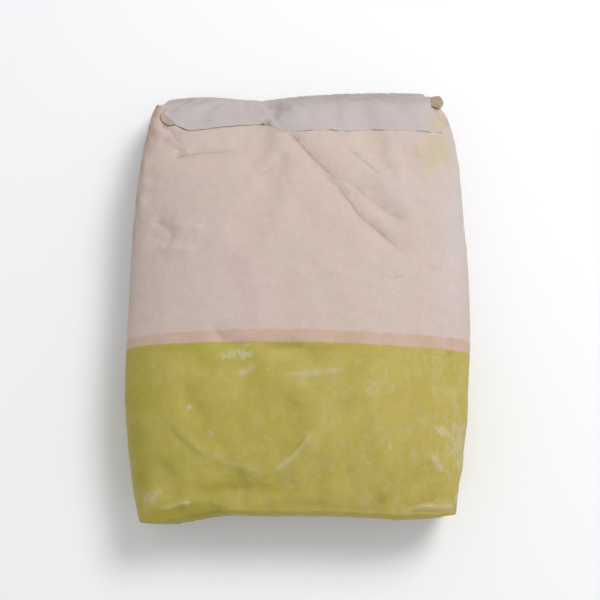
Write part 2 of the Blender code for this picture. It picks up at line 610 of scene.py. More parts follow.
@dataclass(frozen=True)
class Crease:
    """A fold line in the paper, through the photograph's pixels that it crosses.

    A STEP stands up on the right of the line, seen along it, and at a HINGE the paper bends
    down there. The tone says how much the print is worn along the line; a negative tone says
    how much painted shade darkens the line instead. Within the soft distance the fold is
    rounded, and over the taper's share of its length it fades out at each end.
    """

    line: tuple[Pixel, ...]
    fold: Fold
    height: float
    reach: float
    tone: float = 0.0
    soft: float = 0.0006
    taper: float = 0.25
    step_width: float = 0.0012

    def smooth_line(self, rounds: int = 2) -> np.ndarray:
        """Gives the line's pixels with its corners cut round.

        Args:
            rounds: How often they are cut.

        Returns:
            The pixels, a row for each.
        """
        line = np.array(self.line, float)
        for _ in range(rounds):
            before, after = line[:-1], line[1:]
            cut = np.stack([0.75 * before + 0.25 * after, 0.25 * before + 0.75 * after], axis=1)
            line = np.vstack([line[:1], cut.reshape(-1, 2), line[-1:]])
        return line

    def measure(self, points: np.ndarray, normals: np.ndarray,
                way: np.ndarray) -> tuple[np.ndarray, np.ndarray]:
        """Measures how points lie to the crease.

        Args:
            points: The paper's points near the crease.
            normals: Their normals.
            way: The crease's own points on the paper, in order.

        Returns:
            Each point's distance from the line, negative on its left, and the share of the
            line's length at which it lies.
        """
        lengths = np.linalg.norm(np.diff(way, axis=0), axis=1)
        starts = np.concatenate([[0.0], np.cumsum(lengths)])
        nearest = np.full(len(points), np.inf)
        signed, share = np.zeros(len(points)), np.zeros(len(points))
        for start, end, length, run in zip(way[:-1], way[1:], lengths, starts):
            ahead = (end - start) / max(length, 1e-9)
            offset = points - start
            along = np.clip(offset @ ahead, 0.0, length)
            apart = offset - along[:, None] * ahead
            distance = np.linalg.norm(apart, axis=1)
            side = np.sign(np.einsum("ij,ij->i", np.cross(apart, ahead), normals))
            closer = distance < nearest
            nearest = np.where(closer, distance, nearest)
            signed = np.where(closer, distance * np.where(side == 0.0, 1.0, side), signed)
            share = np.where(closer, (run + along) / starts[-1], share)
        return signed, share

    def push(self, signed: np.ndarray, strength: np.ndarray) -> np.ndarray:
        """Works out how far the crease moves the paper outwards.

        Args:
            signed: The points' distances from the line.
            strength: The share of the crease's height at each of them.

        Returns:
            The points' movements.
        """
        if self.fold is Fold.HINGE:
            share = np.maximum(signed, 0.0) / self.reach
            return -self.height * share * np.exp(1.0 - share) * strength
        away = np.sqrt(signed**2 + self.soft**2) - self.soft
        stand = {Fold.VALLEY: -1.0, Fold.RIDGE: 1.0, Fold.STEP: 0.5 * np.tanh(signed / self.step_width)}
        return self.height * (np.exp(-away / self.reach) * strength) * stand[self.fold]


@dataclass(frozen=True)
class Dab:
    """A soft-edged patch, such as a smear of dust, by the photograph's pixels."""

    at: Pixel
    size: Pixel
    amount: float
    turn_deg: float = 0.0

    def cover(self, pixels: np.ndarray) -> np.ndarray:
        """Works out how strongly the patch covers each of some pixels.

        Args:
            pixels: The pixels, a row for each.

        Returns:
            The patch's amount at each.
        """
        turn = math.radians(self.turn_deg)
        offset = pixels - np.array(self.at)
        across = offset[:, 0] * math.cos(turn) + offset[:, 1] * math.sin(turn)
        along = offset[:, 1] * math.cos(turn) - offset[:, 0] * math.sin(turn)
        return self.amount * np.exp(-((across / self.size[0]) ** 2) - (along / self.size[1]) ** 2)


VALLEY, RIDGE, STEP, HINGE = Fold
TOP_CREASES = (
    Crease(((262, 103), (270, 118), (281, 130), (292, 134)), STEP, 0.0030, 0.009, -0.4),
    Crease(((281, 130), (295, 136), (307, 151), (321, 165), (342, 183)), VALLEY, 0.0034, 0.008, -0.9),
    Crease(((317, 168), (325, 175), (338, 183), (344, 195), (352, 203), (358, 213), (370, 223), (381, 233),
            (396, 245), (409, 256)), VALLEY, 0.0034, 0.009, -0.8),
    Crease(((343, 178), (360, 190), (375, 202), (392, 215), (410, 221)), VALLEY, 0.0026, 0.008, -0.4, 0.0010),
    Crease(((344, 145), (360, 155), (372, 165), (383, 177)), VALLEY, 0.0036, 0.007, -0.6, 0.0009),
    Crease(((288, 150), (281, 161), (268, 170), (250, 179)), VALLEY, 0.0022, 0.010, -0.3, 0.002),
    Crease(((161, 160), (180, 155), (205, 151), (238, 150)), VALLEY, 0.0034, 0.008, -0.6, 0.0020),
    Crease(((160, 137), (170, 143), (186, 151)), VALLEY, 0.0024, 0.006, -0.6),
    Crease(((169, 127), (173, 134), (181, 145)), VALLEY, 0.0020, 0.005, -0.5),
    Crease(((189, 137), (210, 140), (235, 139)), RIDGE, 0.0008, 0.012),
    Crease(((376, 276), (390, 277), (406, 278)), VALLEY, 0.0008, 0.005, -0.3),
    Crease(((413, 197), (422, 204), (432, 212)), VALLEY, 0.0006, 0.005, -0.2),
    Crease(((425, 264), (434, 268), (445, 274)), VALLEY, 0.0008, 0.006, -0.2),
    Crease(((240, 258), (260, 265), (295, 270), (335, 272), (372, 276)), RIDGE, 0.0006, 0.007, 0.1),
    Crease(((288, 112), (296, 106), (304, 105), (314, 110)), RIDGE, 0.0016, 0.005),
    Crease(((262, 105), (275, 109), (289, 112)), VALLEY, 0.0014, 0.005, -0.3),
)
SIDE_CREASES = (
    Crease(((155, 107), (161, 110.5), (166, 112.5), (172, 116), (178, 124)), STEP, 0.0016, 0.003, -0.7),
    Crease(((159, 119), (164, 124), (172, 127), (184, 131.5)), RIDGE, 0.0010, 0.0025, 0.3, 0.0005),
    Crease(((161, 123), (167, 128.5), (176, 131), (186, 133.5)), VALLEY, 0.0010, 0.003, -0.4),
    Crease(((159, 108), (153.5, 121), (149.5, 134), (146.5, 148), (143.5, 164)), RIDGE, 0.0012, 0.005, -0.5),
    Crease(((148, 150), (144.5, 172), (142.5, 198), (141, 226)), RIDGE, 0.0036, 0.011, 0.0, 0.0020),
    Crease(((150, 220), (163, 225), (178, 240)), VALLEY, 0.0034, 0.009, -0.3, 0.0016),
    Crease(((166, 225), (185, 226), (208, 229)), RIDGE, 0.0018, 0.007, 0.2, 0.0016),
    Crease(((155, 247), (172, 248), (197, 251)), RIDGE, 0.0020, 0.006, 0.2, 0.0012),
    Crease(((147, 234), (163, 240), (174, 244)), VALLEY, 0.0022, 0.008, -0.2, 0.0016),
    Crease(((158, 249), (161, 256), (164, 266)), VALLEY, 0.0010, 0.006),
    Crease(((464, 215), (461, 228), (464, 244)), VALLEY, 0.0016, 0.006, -0.2),
)
LOWER_CREASES = (
    Crease(((215, 326), (221, 335), (227, 344)), VALLEY, 0.0022, 0.007, -0.3, 0.0030),
    Crease(((222, 342), (240, 343), (260, 341), (287, 345), (309, 348)), VALLEY, 0.0024, 0.006, -0.35,
           0.0018, 0.15),
    Crease(((304, 346), (314, 353), (317, 368)), VALLEY, 0.0020, 0.008, -0.3, 0.0036),
    Crease(((278, 376), (305, 374), (334, 371), (352, 368)), RIDGE, 0.0009, 0.0025, 0.6),
    Crease(((234, 377), (246, 372), (258, 366)), RIDGE, 0.0008, 0.004, 0.5),
    Crease(((166, 416), (180, 432), (197, 449), (220, 458), (242, 466)), RIDGE, 0.0034, 0.011, 0.16,
           0.0050, 0.35),
    Crease(((204, 452), (223, 459), (245, 468), (268, 475)), RIDGE, 0.0014, 0.006, 0.25, 0.0030),
    Crease(((163, 422), (177, 437), (195, 453), (212, 463)), VALLEY, 0.0022, 0.007, -0.35, 0.0020),
    Crease(((312, 431), (303, 445), (288, 461), (268, 476)), RIDGE, 0.0026, 0.006, 0.8, 0.0020),
    Crease(((307, 434), (299, 446), (286, 459)), VALLEY, 0.0012, 0.002, -0.5),
    Crease(((203, 481), (218, 484), (238, 489), (256, 488), (272, 485), (288, 484), (302, 479)),
           VALLEY, 0.0026, 0.009, -0.3, 0.0025),
    Crease(((268, 476), (261, 482), (252, 487)), VALLEY, 0.0012, 0.005, -0.2),
    Crease(((160, 512), (170, 509.5), (182, 505), (197, 503), (213, 504), (230, 510)), HINGE,
           0.0026, 0.014, -0.3, 0.0010, 0.15),
    Crease(((158, 509), (170, 507), (182, 503), (195, 501.5)), RIDGE, 0.0009, 0.004, 0.6),
    Crease(((408, 508), (430, 506), (455, 507)), RIDGE, 0.0018, 0.004, 0.9, 0.0012),
    Crease(((400, 509), (418, 502.5), (440, 500)), VALLEY, 0.0016, 0.004, -0.4),
    Crease(((404, 513), (425, 511), (446, 512)), VALLEY, 0.0016, 0.005, -0.4),
    Crease(((361, 510), (366, 501), (374, 496)), RIDGE, 0.0014, 0.004, 0.2),
    Crease(((372, 512), (377, 504), (386, 500)), VALLEY, 0.0016, 0.005, -0.4),
    Crease(((270, 504), (286, 502.5), (302, 503), (322, 505.5), (346, 507.5), (372, 508.5), (400, 510.5)),
           VALLEY, 0.0008, 0.004, -0.3, 0.0010),
    Crease(((256, 505), (286, 502.5), (302, 503), (322, 505.5), (346, 507.5), (372, 508.5), (400, 510.5)),
           HINGE, 0.0007, 0.012, 0.0, 0.0010),
    Crease(((437, 424), (451, 437), (457, 458)), RIDGE, 0.0010, 0.006, 0.6),
    Crease(((431, 455), (437, 463), (441, 474)), RIDGE, 0.0008, 0.003, 1.0),
    Crease(((330, 452), (345, 446), (357, 444)), VALLEY, 0.0006, 0.006),
    Crease(((344, 473), (350, 472), (357, 470)), VALLEY, 0.0006, 0.004, -0.3),
)

SOIL_AND_SHADE = {
    # Painted shade, with some scuffing: dabs that darken the top fold, the left rim and the corners, where
    # shade falls.
    "painted_shade_and_scuff": (
        Dab((372, 96), (85, 8), 1.0), Dab((300, 99), (30, 6), 0.8), Dab((281, 103), (14, 8), 0.8),
        Dab((185, 100), (32, 4), 0.7), Dab((151, 127), (5, 13), 1.0), Dab((147, 143), (4, 12), 0.8),
        Dab((155, 113), (5, 7), 0.7), Dab((157, 106), (4, 3), 1.5), Dab((142, 166), (2, 16), 0.8),
        Dab((137, 196), (2, 18), 0.7), Dab((133.5, 230), (2, 20), 0.6), Dab((131, 264), (2, 18), 0.5),
        Dab((129.5, 296), (2, 18), 0.4), Dab((457, 508), (2.5, 7), 0.9), Dab((448, 121), (5, 6), 0.5),
    ),
    "pale": (
        Dab((457, 225), (14, 85), 1.0), Dab((455, 290), (14, 40), 0.8), Dab((402, 190), (24, 12), 0.4),
    ),
    "dust": (
        Dab((238, 355), (24, 8), 0.75), Dab((262, 360), (10, 5), 0.5), Dab((250, 344), (8, 4), 0.5),
        Dab((350, 389), (14, 10), 0.46, -60), Dab((376, 384), (12, 4), 0.38),
        Dab((433, 459), (3, 8), 0.7, -20),
        Dab((459, 445), (11, 52), 0.72), Dab((457, 498), (5, 9), 0.75), Dab((450, 478), (4, 16), 0.55, -25),
        Dab((425, 430), (50, 60), 0.26), Dab((368, 388), (24, 22), 0.46), Dab((430, 358), (20, 6), 0.45),
        Dab((441, 432), (4, 12), 0.7, -50), Dab((449, 452), (9, 16), 0.66),
        Dab((400, 467), (16, 7), 0.4, -35),
        Dab((267, 369), (3, 3), 0.9), Dab((189, 407), (4, 4), 0.9, 45), Dab((187, 503), (4, 3), 1.0),
        Dab((212, 434), (9, 5), 0.6), Dab((154, 497), (16, 12), 0.72), Dab((155, 365), (10, 6), 0.4),
        Dab((391, 447), (4, 4), 0.7), Dab((440, 500), (18, 6), 0.55), Dab((372, 484), (9, 5), 0.3),
        Dab((275, 470), (30, 6), 0.4, -20), Dab((330, 430), (60, 30), 0.2),
    ),
    # Cleaner, deeper print, partly painted shade: these dabs darken the olive along the foot rim, the left
    # rim and the crease under the band, where shade falls.
    "clean_print_and_shade": (
        Dab((284, 346), (26, 4.5), 1.0), Dab((311, 350), (9, 7), 0.7), Dab((330, 347), (14, 4), 1.0),
        Dab((139, 430), (9, 36), 0.6), Dab((143, 472), (9, 22), 1.0), Dab((168, 516), (26, 6), 1.1),
        Dab((200, 514), (36, 8), 1.3), Dab((224, 487), (19, 5), 1.5), Dab((268, 489), (24, 5), 0.8),
        Dab((380, 500), (20, 7), 0.6), Dab((449, 352), (5, 6), 0.8), Dab((297, 400), (14, 9), 0.5),
        Dab((351, 401), (12, 6), 0.6), Dab((178, 348), (26, 4), 0.4), Dab((305, 503), (40, 5), 0.4),
    ),
    "stain": (
        Dab((436, 146), (15, 16), 1.0), Dab((431, 163), (9, 14), 0.8), Dab((436, 124), (11, 10), 1.0),
        Dab((417, 151), (4, 9), 0.9, -20), Dab((447, 158), (9, 18), 0.6), Dab((425, 155), (10, 8), 0.7),
        Dab((425, 240), (14, 14), 0.32), Dab((405, 218), (10, 8), 0.22), Dab((372, 205), (30, 16), 0.14),
    ),
}
SEEN_FROM = (-0.1, 0.2)


def soil_and_shade(piece: Piece, view: Viewpoint) -> None:
    """Lays painted shade with scuffs, the pale film, dust, cleaner print that is partly painted shade, and
    the stain where the photograph has them.

    Args:
        piece: A piece of paper.
        view: The photograph's viewpoint.
    """
    pixels = view.pixels(points_of(piece.data))
    seen = smooth_share(normals_of(piece.data)[:, 2], *SEEN_FROM)
    for name, dabs in SOIL_AND_SHADE.items():
        cover = np.max([dab.cover(pixels) for dab in dabs], axis=0)
        set_attribute(piece.data, name, cover * seen)


@dataclass(frozen=True)
class Crumple:
    """The shallow dents and small facets that handling leaves in the paper."""

    wave: float = 0.048
    facet: float = 0.026
    wave_height: float = 0.0011
    facet_height: float = 0.0011
    facet_bend: float = 0.006
    facet_half: float = 0.5
    calm_middle: float = 0.35
    busy_ends: Span = (0.10, 0.20)
    busy_sides: Span = (0.10, 0.16)
    busy_foot: Span = (0.06, 0.14)
    busy_foot_share: float = 0.7
    calm_rim: float = 0.65
    rim_from: Span = (0.222, 0.240)
    seed: Vector = field(default_factory=lambda: Vector((3.1, 7.7, 1.9)))

    def dent(self, point: np.ndarray) -> float:
        """Gives how far the paper is dented out at a point, before calm places are left out.

        Args:
            point: The point.

        Returns:
            The dent, which is negative where it goes in.
        """
        place = Vector(point)
        bent = place + self.facet_bend * noise.noise_vector(place / self.wave)
        near = noise.voronoi(bent / self.facet + self.seed)[0]
        facet = self.facet_half - min(near[1] - near[0], self.facet_half)
        return self.wave_height * noise.noise(place / self.wave + self.seed) - self.facet_height * facet

    def push(self, points: np.ndarray) -> np.ndarray:
        """Works out how far the paper is dented in or out.

        Args:
            points: The paper's points.

        Returns:
            The dent at each.
        """
        dents = np.array([self.dent(point) for point in points])
        x, y = points[:, 0], points[:, 1]
        busy = np.maximum(smooth_share(np.abs(y), *self.busy_ends), smooth_share(np.abs(x), *self.busy_sides))
        busy = np.maximum(busy, self.busy_foot_share * smooth_share(-y, *self.busy_foot))
        busy *= 1.0 - self.calm_rim * smooth_share(-y, *self.rim_from)
        return dents * mix(self.calm_middle, 1.0, busy)


@dataclass(frozen=True)
class Outline:
    """One side of the sack's outline in the photograph.

    The axis is the number of its pixels that runs along it, 0 for columns and 1 for rows,
    and the way is 1 if it is at the higher pixels across, and -1 if at the lower. The sack
    reaches that many pixels from its middle to there.
    """

    axis: int
    way: float
    reach: float
    span: Span
    stays_within: float
    line: tuple[Pixel, ...]


ROWS, COLUMNS = (104.0, 511.0), (158.0, 446.0)
OUTLINES = (
    Outline(1, -1.0, 165.0, ROWS, 0.50, (
        (161, 103), (157, 106), (155, 111), (151.5, 118), (149, 126), (147, 134), (145, 142), (143, 150),
        (140.3, 166), (138, 182), (136.3, 198), (134, 222), (132, 246), (131, 270), (130, 294), (128.2, 318),
        (127, 342), (126, 366), (125.3, 400), (126.5, 422), (128, 438), (129, 454), (131, 470), (133, 486),
        (135.6, 502), (137.5, 512))),
    Outline(1, 1.0, 169.0, ROWS, 0.50, (
        (436, 101), (437, 107), (439.5, 111), (446, 118), (449.6, 126), (452.4, 134), (454.6, 142),
        (456, 150), (458.7, 166), (460, 182), (461.2, 198), (463.4, 222), (466, 246), (467.6, 270),
        (468.7, 294), (469.6, 318), (469.7, 350), (468.8, 366), (467.6, 390), (466.9, 422), (465, 438),
        (463, 454), (462.3, 470), (458.4, 486), (456.8, 502), (455.6, 512))),
    Outline(0, -1.0, 207.0, COLUMNS, 0.8, (
        (157, 104.4), (161, 102.8), (166, 101.2), (175, 100), (195, 98.5), (215, 98.5), (225, 99.3),
        (245, 101), (262, 102), (285, 99), (305, 97), (325, 96), (345, 95), (375, 94.3), (395, 94.3),
        (425, 95), (435, 96.5), (441, 104))),
    Outline(0, 1.0, 207.7, COLUMNS, 0.8, (
        (143, 522), (155, 523.7), (178, 523.7), (195, 520.6), (215, 516.5), (232, 515), (262, 515.8),
        (325, 516), (345, 516.7), (375, 518), (395, 519.7), (425, 518.7), (441, 517.4), (452, 514))),
)


@dataclass(frozen=True)
class TrueUp:
    """Moves the settled paper sideways until its outline follows the photograph's."""

    step: float = 2.0
    window: float = 1.5
    middle: Pixel = (297.0, 309.0)
    spare: float = 0.6
    evening: tuple[float, ...] = (0.10, 0.22, 0.36, 0.22, 0.10)
    moves_from: float = 0.97

    def gap(self, along: np.ndarray, across: np.ndarray, side: Outline) -> np.ndarray:
        """Works out how far each point's part of the outline is from the photograph's.

        Args:
            along: Each point's pixel along the outline.
            across: Each point's pixel across it.
            side: The photograph's outline.

        Returns:
            How many pixels each point's part of the outline has to move.
        """
        stations = np.arange(side.span[0], side.span[1] + self.step, self.step)
        reach = self.step * self.window
        outermost = np.array([side.way * np.max(side.way * across[np.abs(along - at) < reach])
                              for at in stations])
        line = np.array(side.line)
        wanted = np.interp(stations, line[:, side.axis], line[:, 1 - side.axis]) + side.way * self.spare
        missing = np.convolve(np.pad(wanted - outermost, 2, mode="edge"), self.evening, "valid")
        return np.interp(along, stations, missing)

    def push(self, view: Viewpoint, points: np.ndarray) -> np.ndarray:
        """Works out how each point moves.

        Args:
            view: The photograph's viewpoint.
            points: The paper's points.

        Returns:
            The movement of each point.
        """
        pixels = view.pixels(points)
        move = np.zeros_like(points)
        metres = view.distance / view.focal_px
        for side in OUTLINES:
            along, across = pixels[:, side.axis], pixels[:, 1 - side.axis]
            reach = side.way * (across - self.middle[1 - side.axis]) / side.reach
            share = smooth_share(reach, side.stays_within, self.moves_from)
            right_or_down = 1.0 if side.axis == 1 else -1.0
            move[:, 1 - side.axis] += right_or_down * share * metres * self.gap(along, across, side)
        return move


@dataclass(frozen=True)
class Pinch:
    """A corner of the paper that was drawn out to a point, by the photograph's pixel of it."""

    tip: Pixel
    height: float
    reach: float

    def pull(self, view: Viewpoint, surface: BVHTree, points: np.ndarray) -> np.ndarray:
        """Works out how the corner's points move when it is drawn out.

        Args:
            view: The photograph's viewpoint.
            surface: The paper's search tree.
            points: The paper's points.

        Returns:
            Each point's move.
        """
        tip = view.at_height(self.tip, self.height)
        root = surface.find_nearest(tip)[0]
        away = np.linalg.norm(points - np.array(root), axis=1)
        return np.exp(-((away / self.reach) ** 2))[:, None] * np.array(tip - root)


@dataclass
class FilledSack:
    """The paper tube with its folded ends and the cement in it."""

    view: Viewpoint
    name: str = "filled_sack_paper"
    form: SackForm = field(default_factory=SackForm)
    settling: PaperSettling = field(default_factory=PaperSettling)
    crumple: Crumple = field(default_factory=Crumple)
    trueing: TrueUp = field(default_factory=TrueUp)
    pinches: tuple[Pinch, ...] = (
        Pinch((155.0, 105.8), 0.060, 0.007), Pinch((457.0, 513.5), 0.060, 0.010),
        Pinch((438.5, 97.2), 0.069, 0.014))
    creases: tuple[Crease, ...] = TOP_CREASES + SIDE_CREASES + LOWER_CREASES
    crease_search: float = 6.0
    creased_from: float = -0.2
    wear_and_shade_reach: float = 0.0032
    line_reach: Span = (0.004, 0.006)
    far_from_lines: float = 0.02
    wander: float = 0.0012
    wander_size: float = 0.016
    unevenness: float = 0.4
    end_taper: float = -0.02
    dents_above: Span = (0.002, 0.020)
    folds_above: Span = (0.002, 0.010)
    rim_crease: float = 0.75
    soft_rim_crease: float = 0.35
    foot_rim_crease: float = 0.90
    soft_rim_from: float = -0.01
    on_rim: float = 0.999
    underside_height: float = 0.0002
    underside_share: float = 0.2

    def add_cage(self) -> Piece:
        """Adds the coarse cage: a cube cut into cells and set out as the filled sack."""
        bpy.ops.object.select_all(action="DESELECT")
        bpy.ops.mesh.primitive_cube_add(size=2.0)
        cage = named(self.name)
        for axis, count in enumerate(self.form.cells):
            select_where(cage, "EDGE", lambda edge, axis=axis: (
                abs(edge.verts[0].co[axis] - edge.verts[1].co[axis]) > 1e-4))
            bpy.ops.mesh.subdivide(number_cuts=count - 1)
            bpy.ops.object.mode_set(mode="OBJECT")
        self.crease_rims(cage)
        set_points(cage.data, self.form.place(points_of(cage.data)))
        return cage

    def crease_rims(self, cage: Piece) -> None:
        """Keeps the rims of both block ends fairly sharp when the cage is rounded.

        Args:
            cage: The block that is cut into cells.
        """
        mesh = bmesh.new()
        mesh.from_mesh(cage.data)
        crease = mesh.edges.layers.float.new("crease_edge")
        for edge in mesh.edges:
            ends = [vert.co for vert in edge.verts]
            on_end = all(abs(end.y) > self.on_rim for end in ends)
            on_side = all(abs(end.x) > self.on_rim for end in ends)
            on_front = all(end.z > self.on_rim for end in ends)
            if on_end and on_front and ends[0].y < 0.0:
                edge[crease] = self.foot_rim_crease
            elif on_end and on_front and ends[0].x > self.soft_rim_from:
                edge[crease] = self.soft_rim_crease
            elif on_end and (on_side or on_front):
                edge[crease] = self.rim_crease
        mesh.to_mesh(cage.data)
        mesh.free()

    def true_up(self, sack: Piece, rounds: int, pinches: tuple[Pinch, ...]) -> None:
        """Moves the paper's outline to the photograph's, and then draws out its corners.

        Args:
            sack: The sack's paper.
            rounds: How often the outline is moved.
            pinches: The corners that are drawn out.
        """
        for _ in range(rounds):
            points = points_of(sack.data)
            set_points(sack.data, points + self.trueing.push(self.view, points))
        for pinch in pinches:
            points = points_of(sack.data)
            set_points(sack.data, points + pinch.pull(self.view, tree_of(sack), points))

    def dent(self, sack: Piece) -> None:
        """Dents the paper where the sack was handled, but not where it rests on the floor.

        Args:
            sack: The sack's paper.
        """
        points = points_of(sack.data)
        push = self.crumple.push(points) * smooth_share(points[:, 2], *self.dents_above)
        set_points(sack.data, points + normals_of(sack.data) * push[:, None])

    def fold(self, sack: Piece) -> None:
        """Folds the creases into the paper and keeps what the print's worn lines and the painted crease shade
        need of them.

        Args:
            sack: The sack's paper.
        """
        points, normals = points_of(sack.data), normals_of(sack.data)
        surface = tree_of(sack)
        push, tone, wear_and_shade = np.zeros((3, len(points)))
        line = np.full(len(points), self.far_from_lines)
        wander = np.array([waver(Vector(point) / self.wander_size) for point in points])
        for crease in self.creases:
            way = np.array([self.view.meet(surface, tuple(pixel)) for pixel in crease.smooth_line()])
            edge = self.crease_search * crease.reach
            near = np.all((points > way.min(axis=0) - edge) & (points < way.max(axis=0) + edge), axis=1)
            near &= normals[:, 2] > self.creased_from
            signed, share = crease.measure(points[near], normals[near], way)
            signed += self.wander * wander[near]
            strength = smooth_share(np.minimum(share, 1.0 - share), self.end_taper, crease.taper)
            strength *= 1.0 + self.unevenness * wander[near]
            push[near] += crease.push(signed, strength)
            closer = np.abs(signed) < np.abs(line[near])
            line[near] = np.where(closer, signed, line[near])
            # Positive tones mark worn print; negative ones paint shade along and beside the crease.
            wear_and_shade[near] += crease.tone * strength * np.exp(-((signed / self.wear_and_shade_reach) ** 2))
            beside = 1.0 - smooth_share(np.abs(signed), *self.line_reach)
            tone[near] = np.where(closer, crease.tone * strength * beside, tone[near])
        off_floor = smooth_share(points[:, 2], *self.folds_above)
        set_points(sack.data, points + normals * (push * off_floor)[:, None])
        for name, values in (("fold_line", line), ("fold_wear_and_shade_tone", tone), ("fold_wear_and_shade", wear_and_shade)):
            set_attribute(sack.data, name, values)

    def thin_underside(self, sack: Piece) -> None:
        """Joins most of the small faces that lie flat on the floor.

        Args:
            sack: The sack's paper.
        """
        select_where(sack, "FACE", lambda face: (
            all(vert.co.z < self.underside_height for vert in face.verts)))
        bpy.ops.mesh.decimate(ratio=self.underside_share)
        bpy.ops.object.mode_set(mode="OBJECT")

    def build(self) -> Piece:
        """Builds the sack's paper and gives its object."""
        sack = self.add_cage()
        finish_with(sack, "round_paper", "SUBSURF", levels=2, render_levels=2)
        set_attribute(sack.data, "paper_y", points_of(sack.data)[:, 1])
        self.settling.settle(sack, self.form)
        finish_with(sack, "round_paper", "SUBSURF", levels=1, render_levels=1)
        self.true_up(sack, 2, self.pinches)
        self.dent(sack)
        self.fold(sack)
        self.true_up(sack, 1, ())
        soil_and_shade(sack, self.view)
        self.thin_underside(sack)
        choose_only(sack)
        bpy.ops.object.shade_smooth()
        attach(sack, "root")
        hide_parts("filled_sack")
        return sack


def face_outwards(sheet: Piece, outwards: Vector) -> None:
    """Turns a sheet over if its faces point away from the given direction.

    Args:
        sheet: The sheet, without thickness yet.
        outwards: The direction that they should point in.
    """
    total = sum((face.normal * face.area for face in sheet.data.polygons), Vector())
    if total.dot(outwards) < 0.0:
        sheet.data.flip_normals()


@dataclass
class CoverStrip:
    """A strip of paper glued round a folded block end and, at the top, on to the front face.

    Its points are found by looking back at the sack, from outside, towards a line inside
    the block end. A row's angle turns from the lower fold up and over to the last edge,
    which lies on a line of the photograph's pixels or else at an angle of its own.
    """

    name: str
    node: str
    axis: Pixel
    side: float
    first_angle_deg: float
    first_ends: Span
    last_ends: Span
    last_edge: tuple[Pixel, ...] = ()
    last_angle_deg: float = 0.0
    cells: tuple[int, int] = (140, 52)
    end_power: float = 1.0
    stiffer: int = 4
    gap: float = 0.00035
    thickness: float = 0.0005
    lift: float = 0.0
    lifted_from: Span = (0.88, 1.0)
    pressed_gap: float = 0.0001
    pressed_from: Span = (0.18, 0.34)
    pressed_rows: Span = (0.88, 0.97)
    pressed_where: Span = (-0.35, 0.15)
    flutter: float = 0.016
    thinned: float = 0.85
    thinned_rows: Span = (0.96, 1.0)
    tear: float = 0.0
    tear_px: float = 9.0
    look_from: float = 0.4
    sharp_deg: float = 50.0

    def direction(self, angle: float) -> Vector:
        """Gives the direction out from the inner line at an angle above level."""
        return Vector((0.0, self.side * math.cos(angle), math.sin(angle)))

    def last_angle(self, view: Viewpoint, surface: BVHTree, column: float) -> float:
        """Gives the angle of the strip's last edge at a place across it.

        Args:
            view: The photograph's viewpoint.
            surface: The sack's search tree.
            column: The photograph's pixel column.

        Returns:
            The angle above level, in radians.
        """
        if not self.last_edge:
            return math.radians(self.last_angle_deg)
        row = float(np.interp(column, *zip(*self.last_edge)))
        row += self.tear * noise.fractal(Vector((column / self.tear_px, 4.0, 0.0)), 0.8, 2.0, 4)
        point = view.meet(surface, (column, row))
        return math.atan2(point.z - self.axis[1], self.side * (point.y - self.axis[0]))

    def lay(self, view: Viewpoint, surface: BVHTree) -> tuple[np.ndarray, np.ndarray]:
        """Finds where the strip's points touch the sack.

        Args:
            view: The photograph's viewpoint.
            surface: The sack's search tree.

        Returns:
            The points and the sack's normals there, row after row from the lower fold.
        """
        columns, rows = (np.linspace(0.0, 1.0, count + 1) for count in self.cells)
        last_x = mix(*self.last_ends, columns)
        to_column = view.middle + (last_x - view.target[0]) * view.focal_px / view.distance
        last = [self.last_angle(view, surface, column) for column in to_column]
        touched = []
        for row in rows:
            ends = mix(np.array(self.first_ends), np.array(self.last_ends), row**self.end_power)
            for share, last_angle in zip(columns, last):
                way = self.direction(mix(math.radians(self.first_angle_deg), last_angle, row))
                inner = Vector((mix(*ends, share), *self.axis))
                touched.append(surface.ray_cast(inner + way * self.look_from, -way)[:2])
        points, normals = zip(*touched)
        return np.array(points), np.array(normals)

    def raise_off(self, strip: Piece, points: np.ndarray, normals: np.ndarray, row: np.ndarray,
                  flush: np.ndarray) -> None:
        """Raises the strip's points off the sack, as stiff paper that bridges its hollows.

        Args:
            strip: The strip's grid.
            points: Where its points touch the sack.
            normals: The sack's normals there.
            row: The share of the way from the lower fold to the last edge.
            flush: How flush the strip's last edge is glued down.
        """
        outwards = spread(strip.data, normals, self.stiffer)
        outwards /= np.linalg.norm(outwards, axis=1, keepdims=True)
        pressed = flush * smooth_share(row, *self.pressed_rows)
        rise = mix(self.gap + self.lift * smooth_share(row, *self.lifted_from), self.pressed_gap, pressed)
        bridged = spread(strip.data, points, self.stiffer) - points
        above = np.maximum(np.einsum("ij,ij->i", bridged, outwards), 0.0)
        set_points(strip.data, points + outwards * (above * (1.0 - pressed) + rise)[:, None])

    def build(self, view: Viewpoint, surface: BVHTree) -> Piece:
        """Lays the strip on the sack.

        Args:
            view: The photograph's viewpoint.
            surface: The sack's search tree.

        Returns:
            The strip's object.
        """
        points, normals = self.lay(view, surface)
        bpy.ops.object.select_all(action="DESELECT")
        bpy.ops.mesh.primitive_grid_add(x_subdivisions=self.cells[0], y_subdivisions=self.cells[1], size=1.0)
        strip = named(self.name)
        row = np.repeat(np.linspace(0.0, 1.0, self.cells[1] + 1), self.cells[0] + 1)
        share = np.tile(np.linspace(0.0, 1.0, self.cells[0] + 1), self.cells[1] + 1)
        flutter = np.array([waver(Vector((x / self.flutter, 2.0, 0.0))) for x in points[:, 0]])
        flush = smooth_share(share, *self.pressed_from) * smooth_share(flutter, *self.pressed_where)
        self.raise_off(strip, points, normals, row, flush)
        face_outwards(strip, self.direction(math.radians(45.0)))
        thinned = self.thinned * flush * smooth_share(row, *self.thinned_rows)
        full = weigh(strip, "full_thickness", 1.0 - thinned)
        finish_with(strip, "paper_thickness", "SOLIDIFY", thickness=self.thickness, vertex_group=full.name,
                    offset=1.0)
        bpy.ops.object.shade_smooth_by_angle(angle=math.radians(self.sharp_deg))
        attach(strip, "root")
        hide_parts(self.node)
        return strip


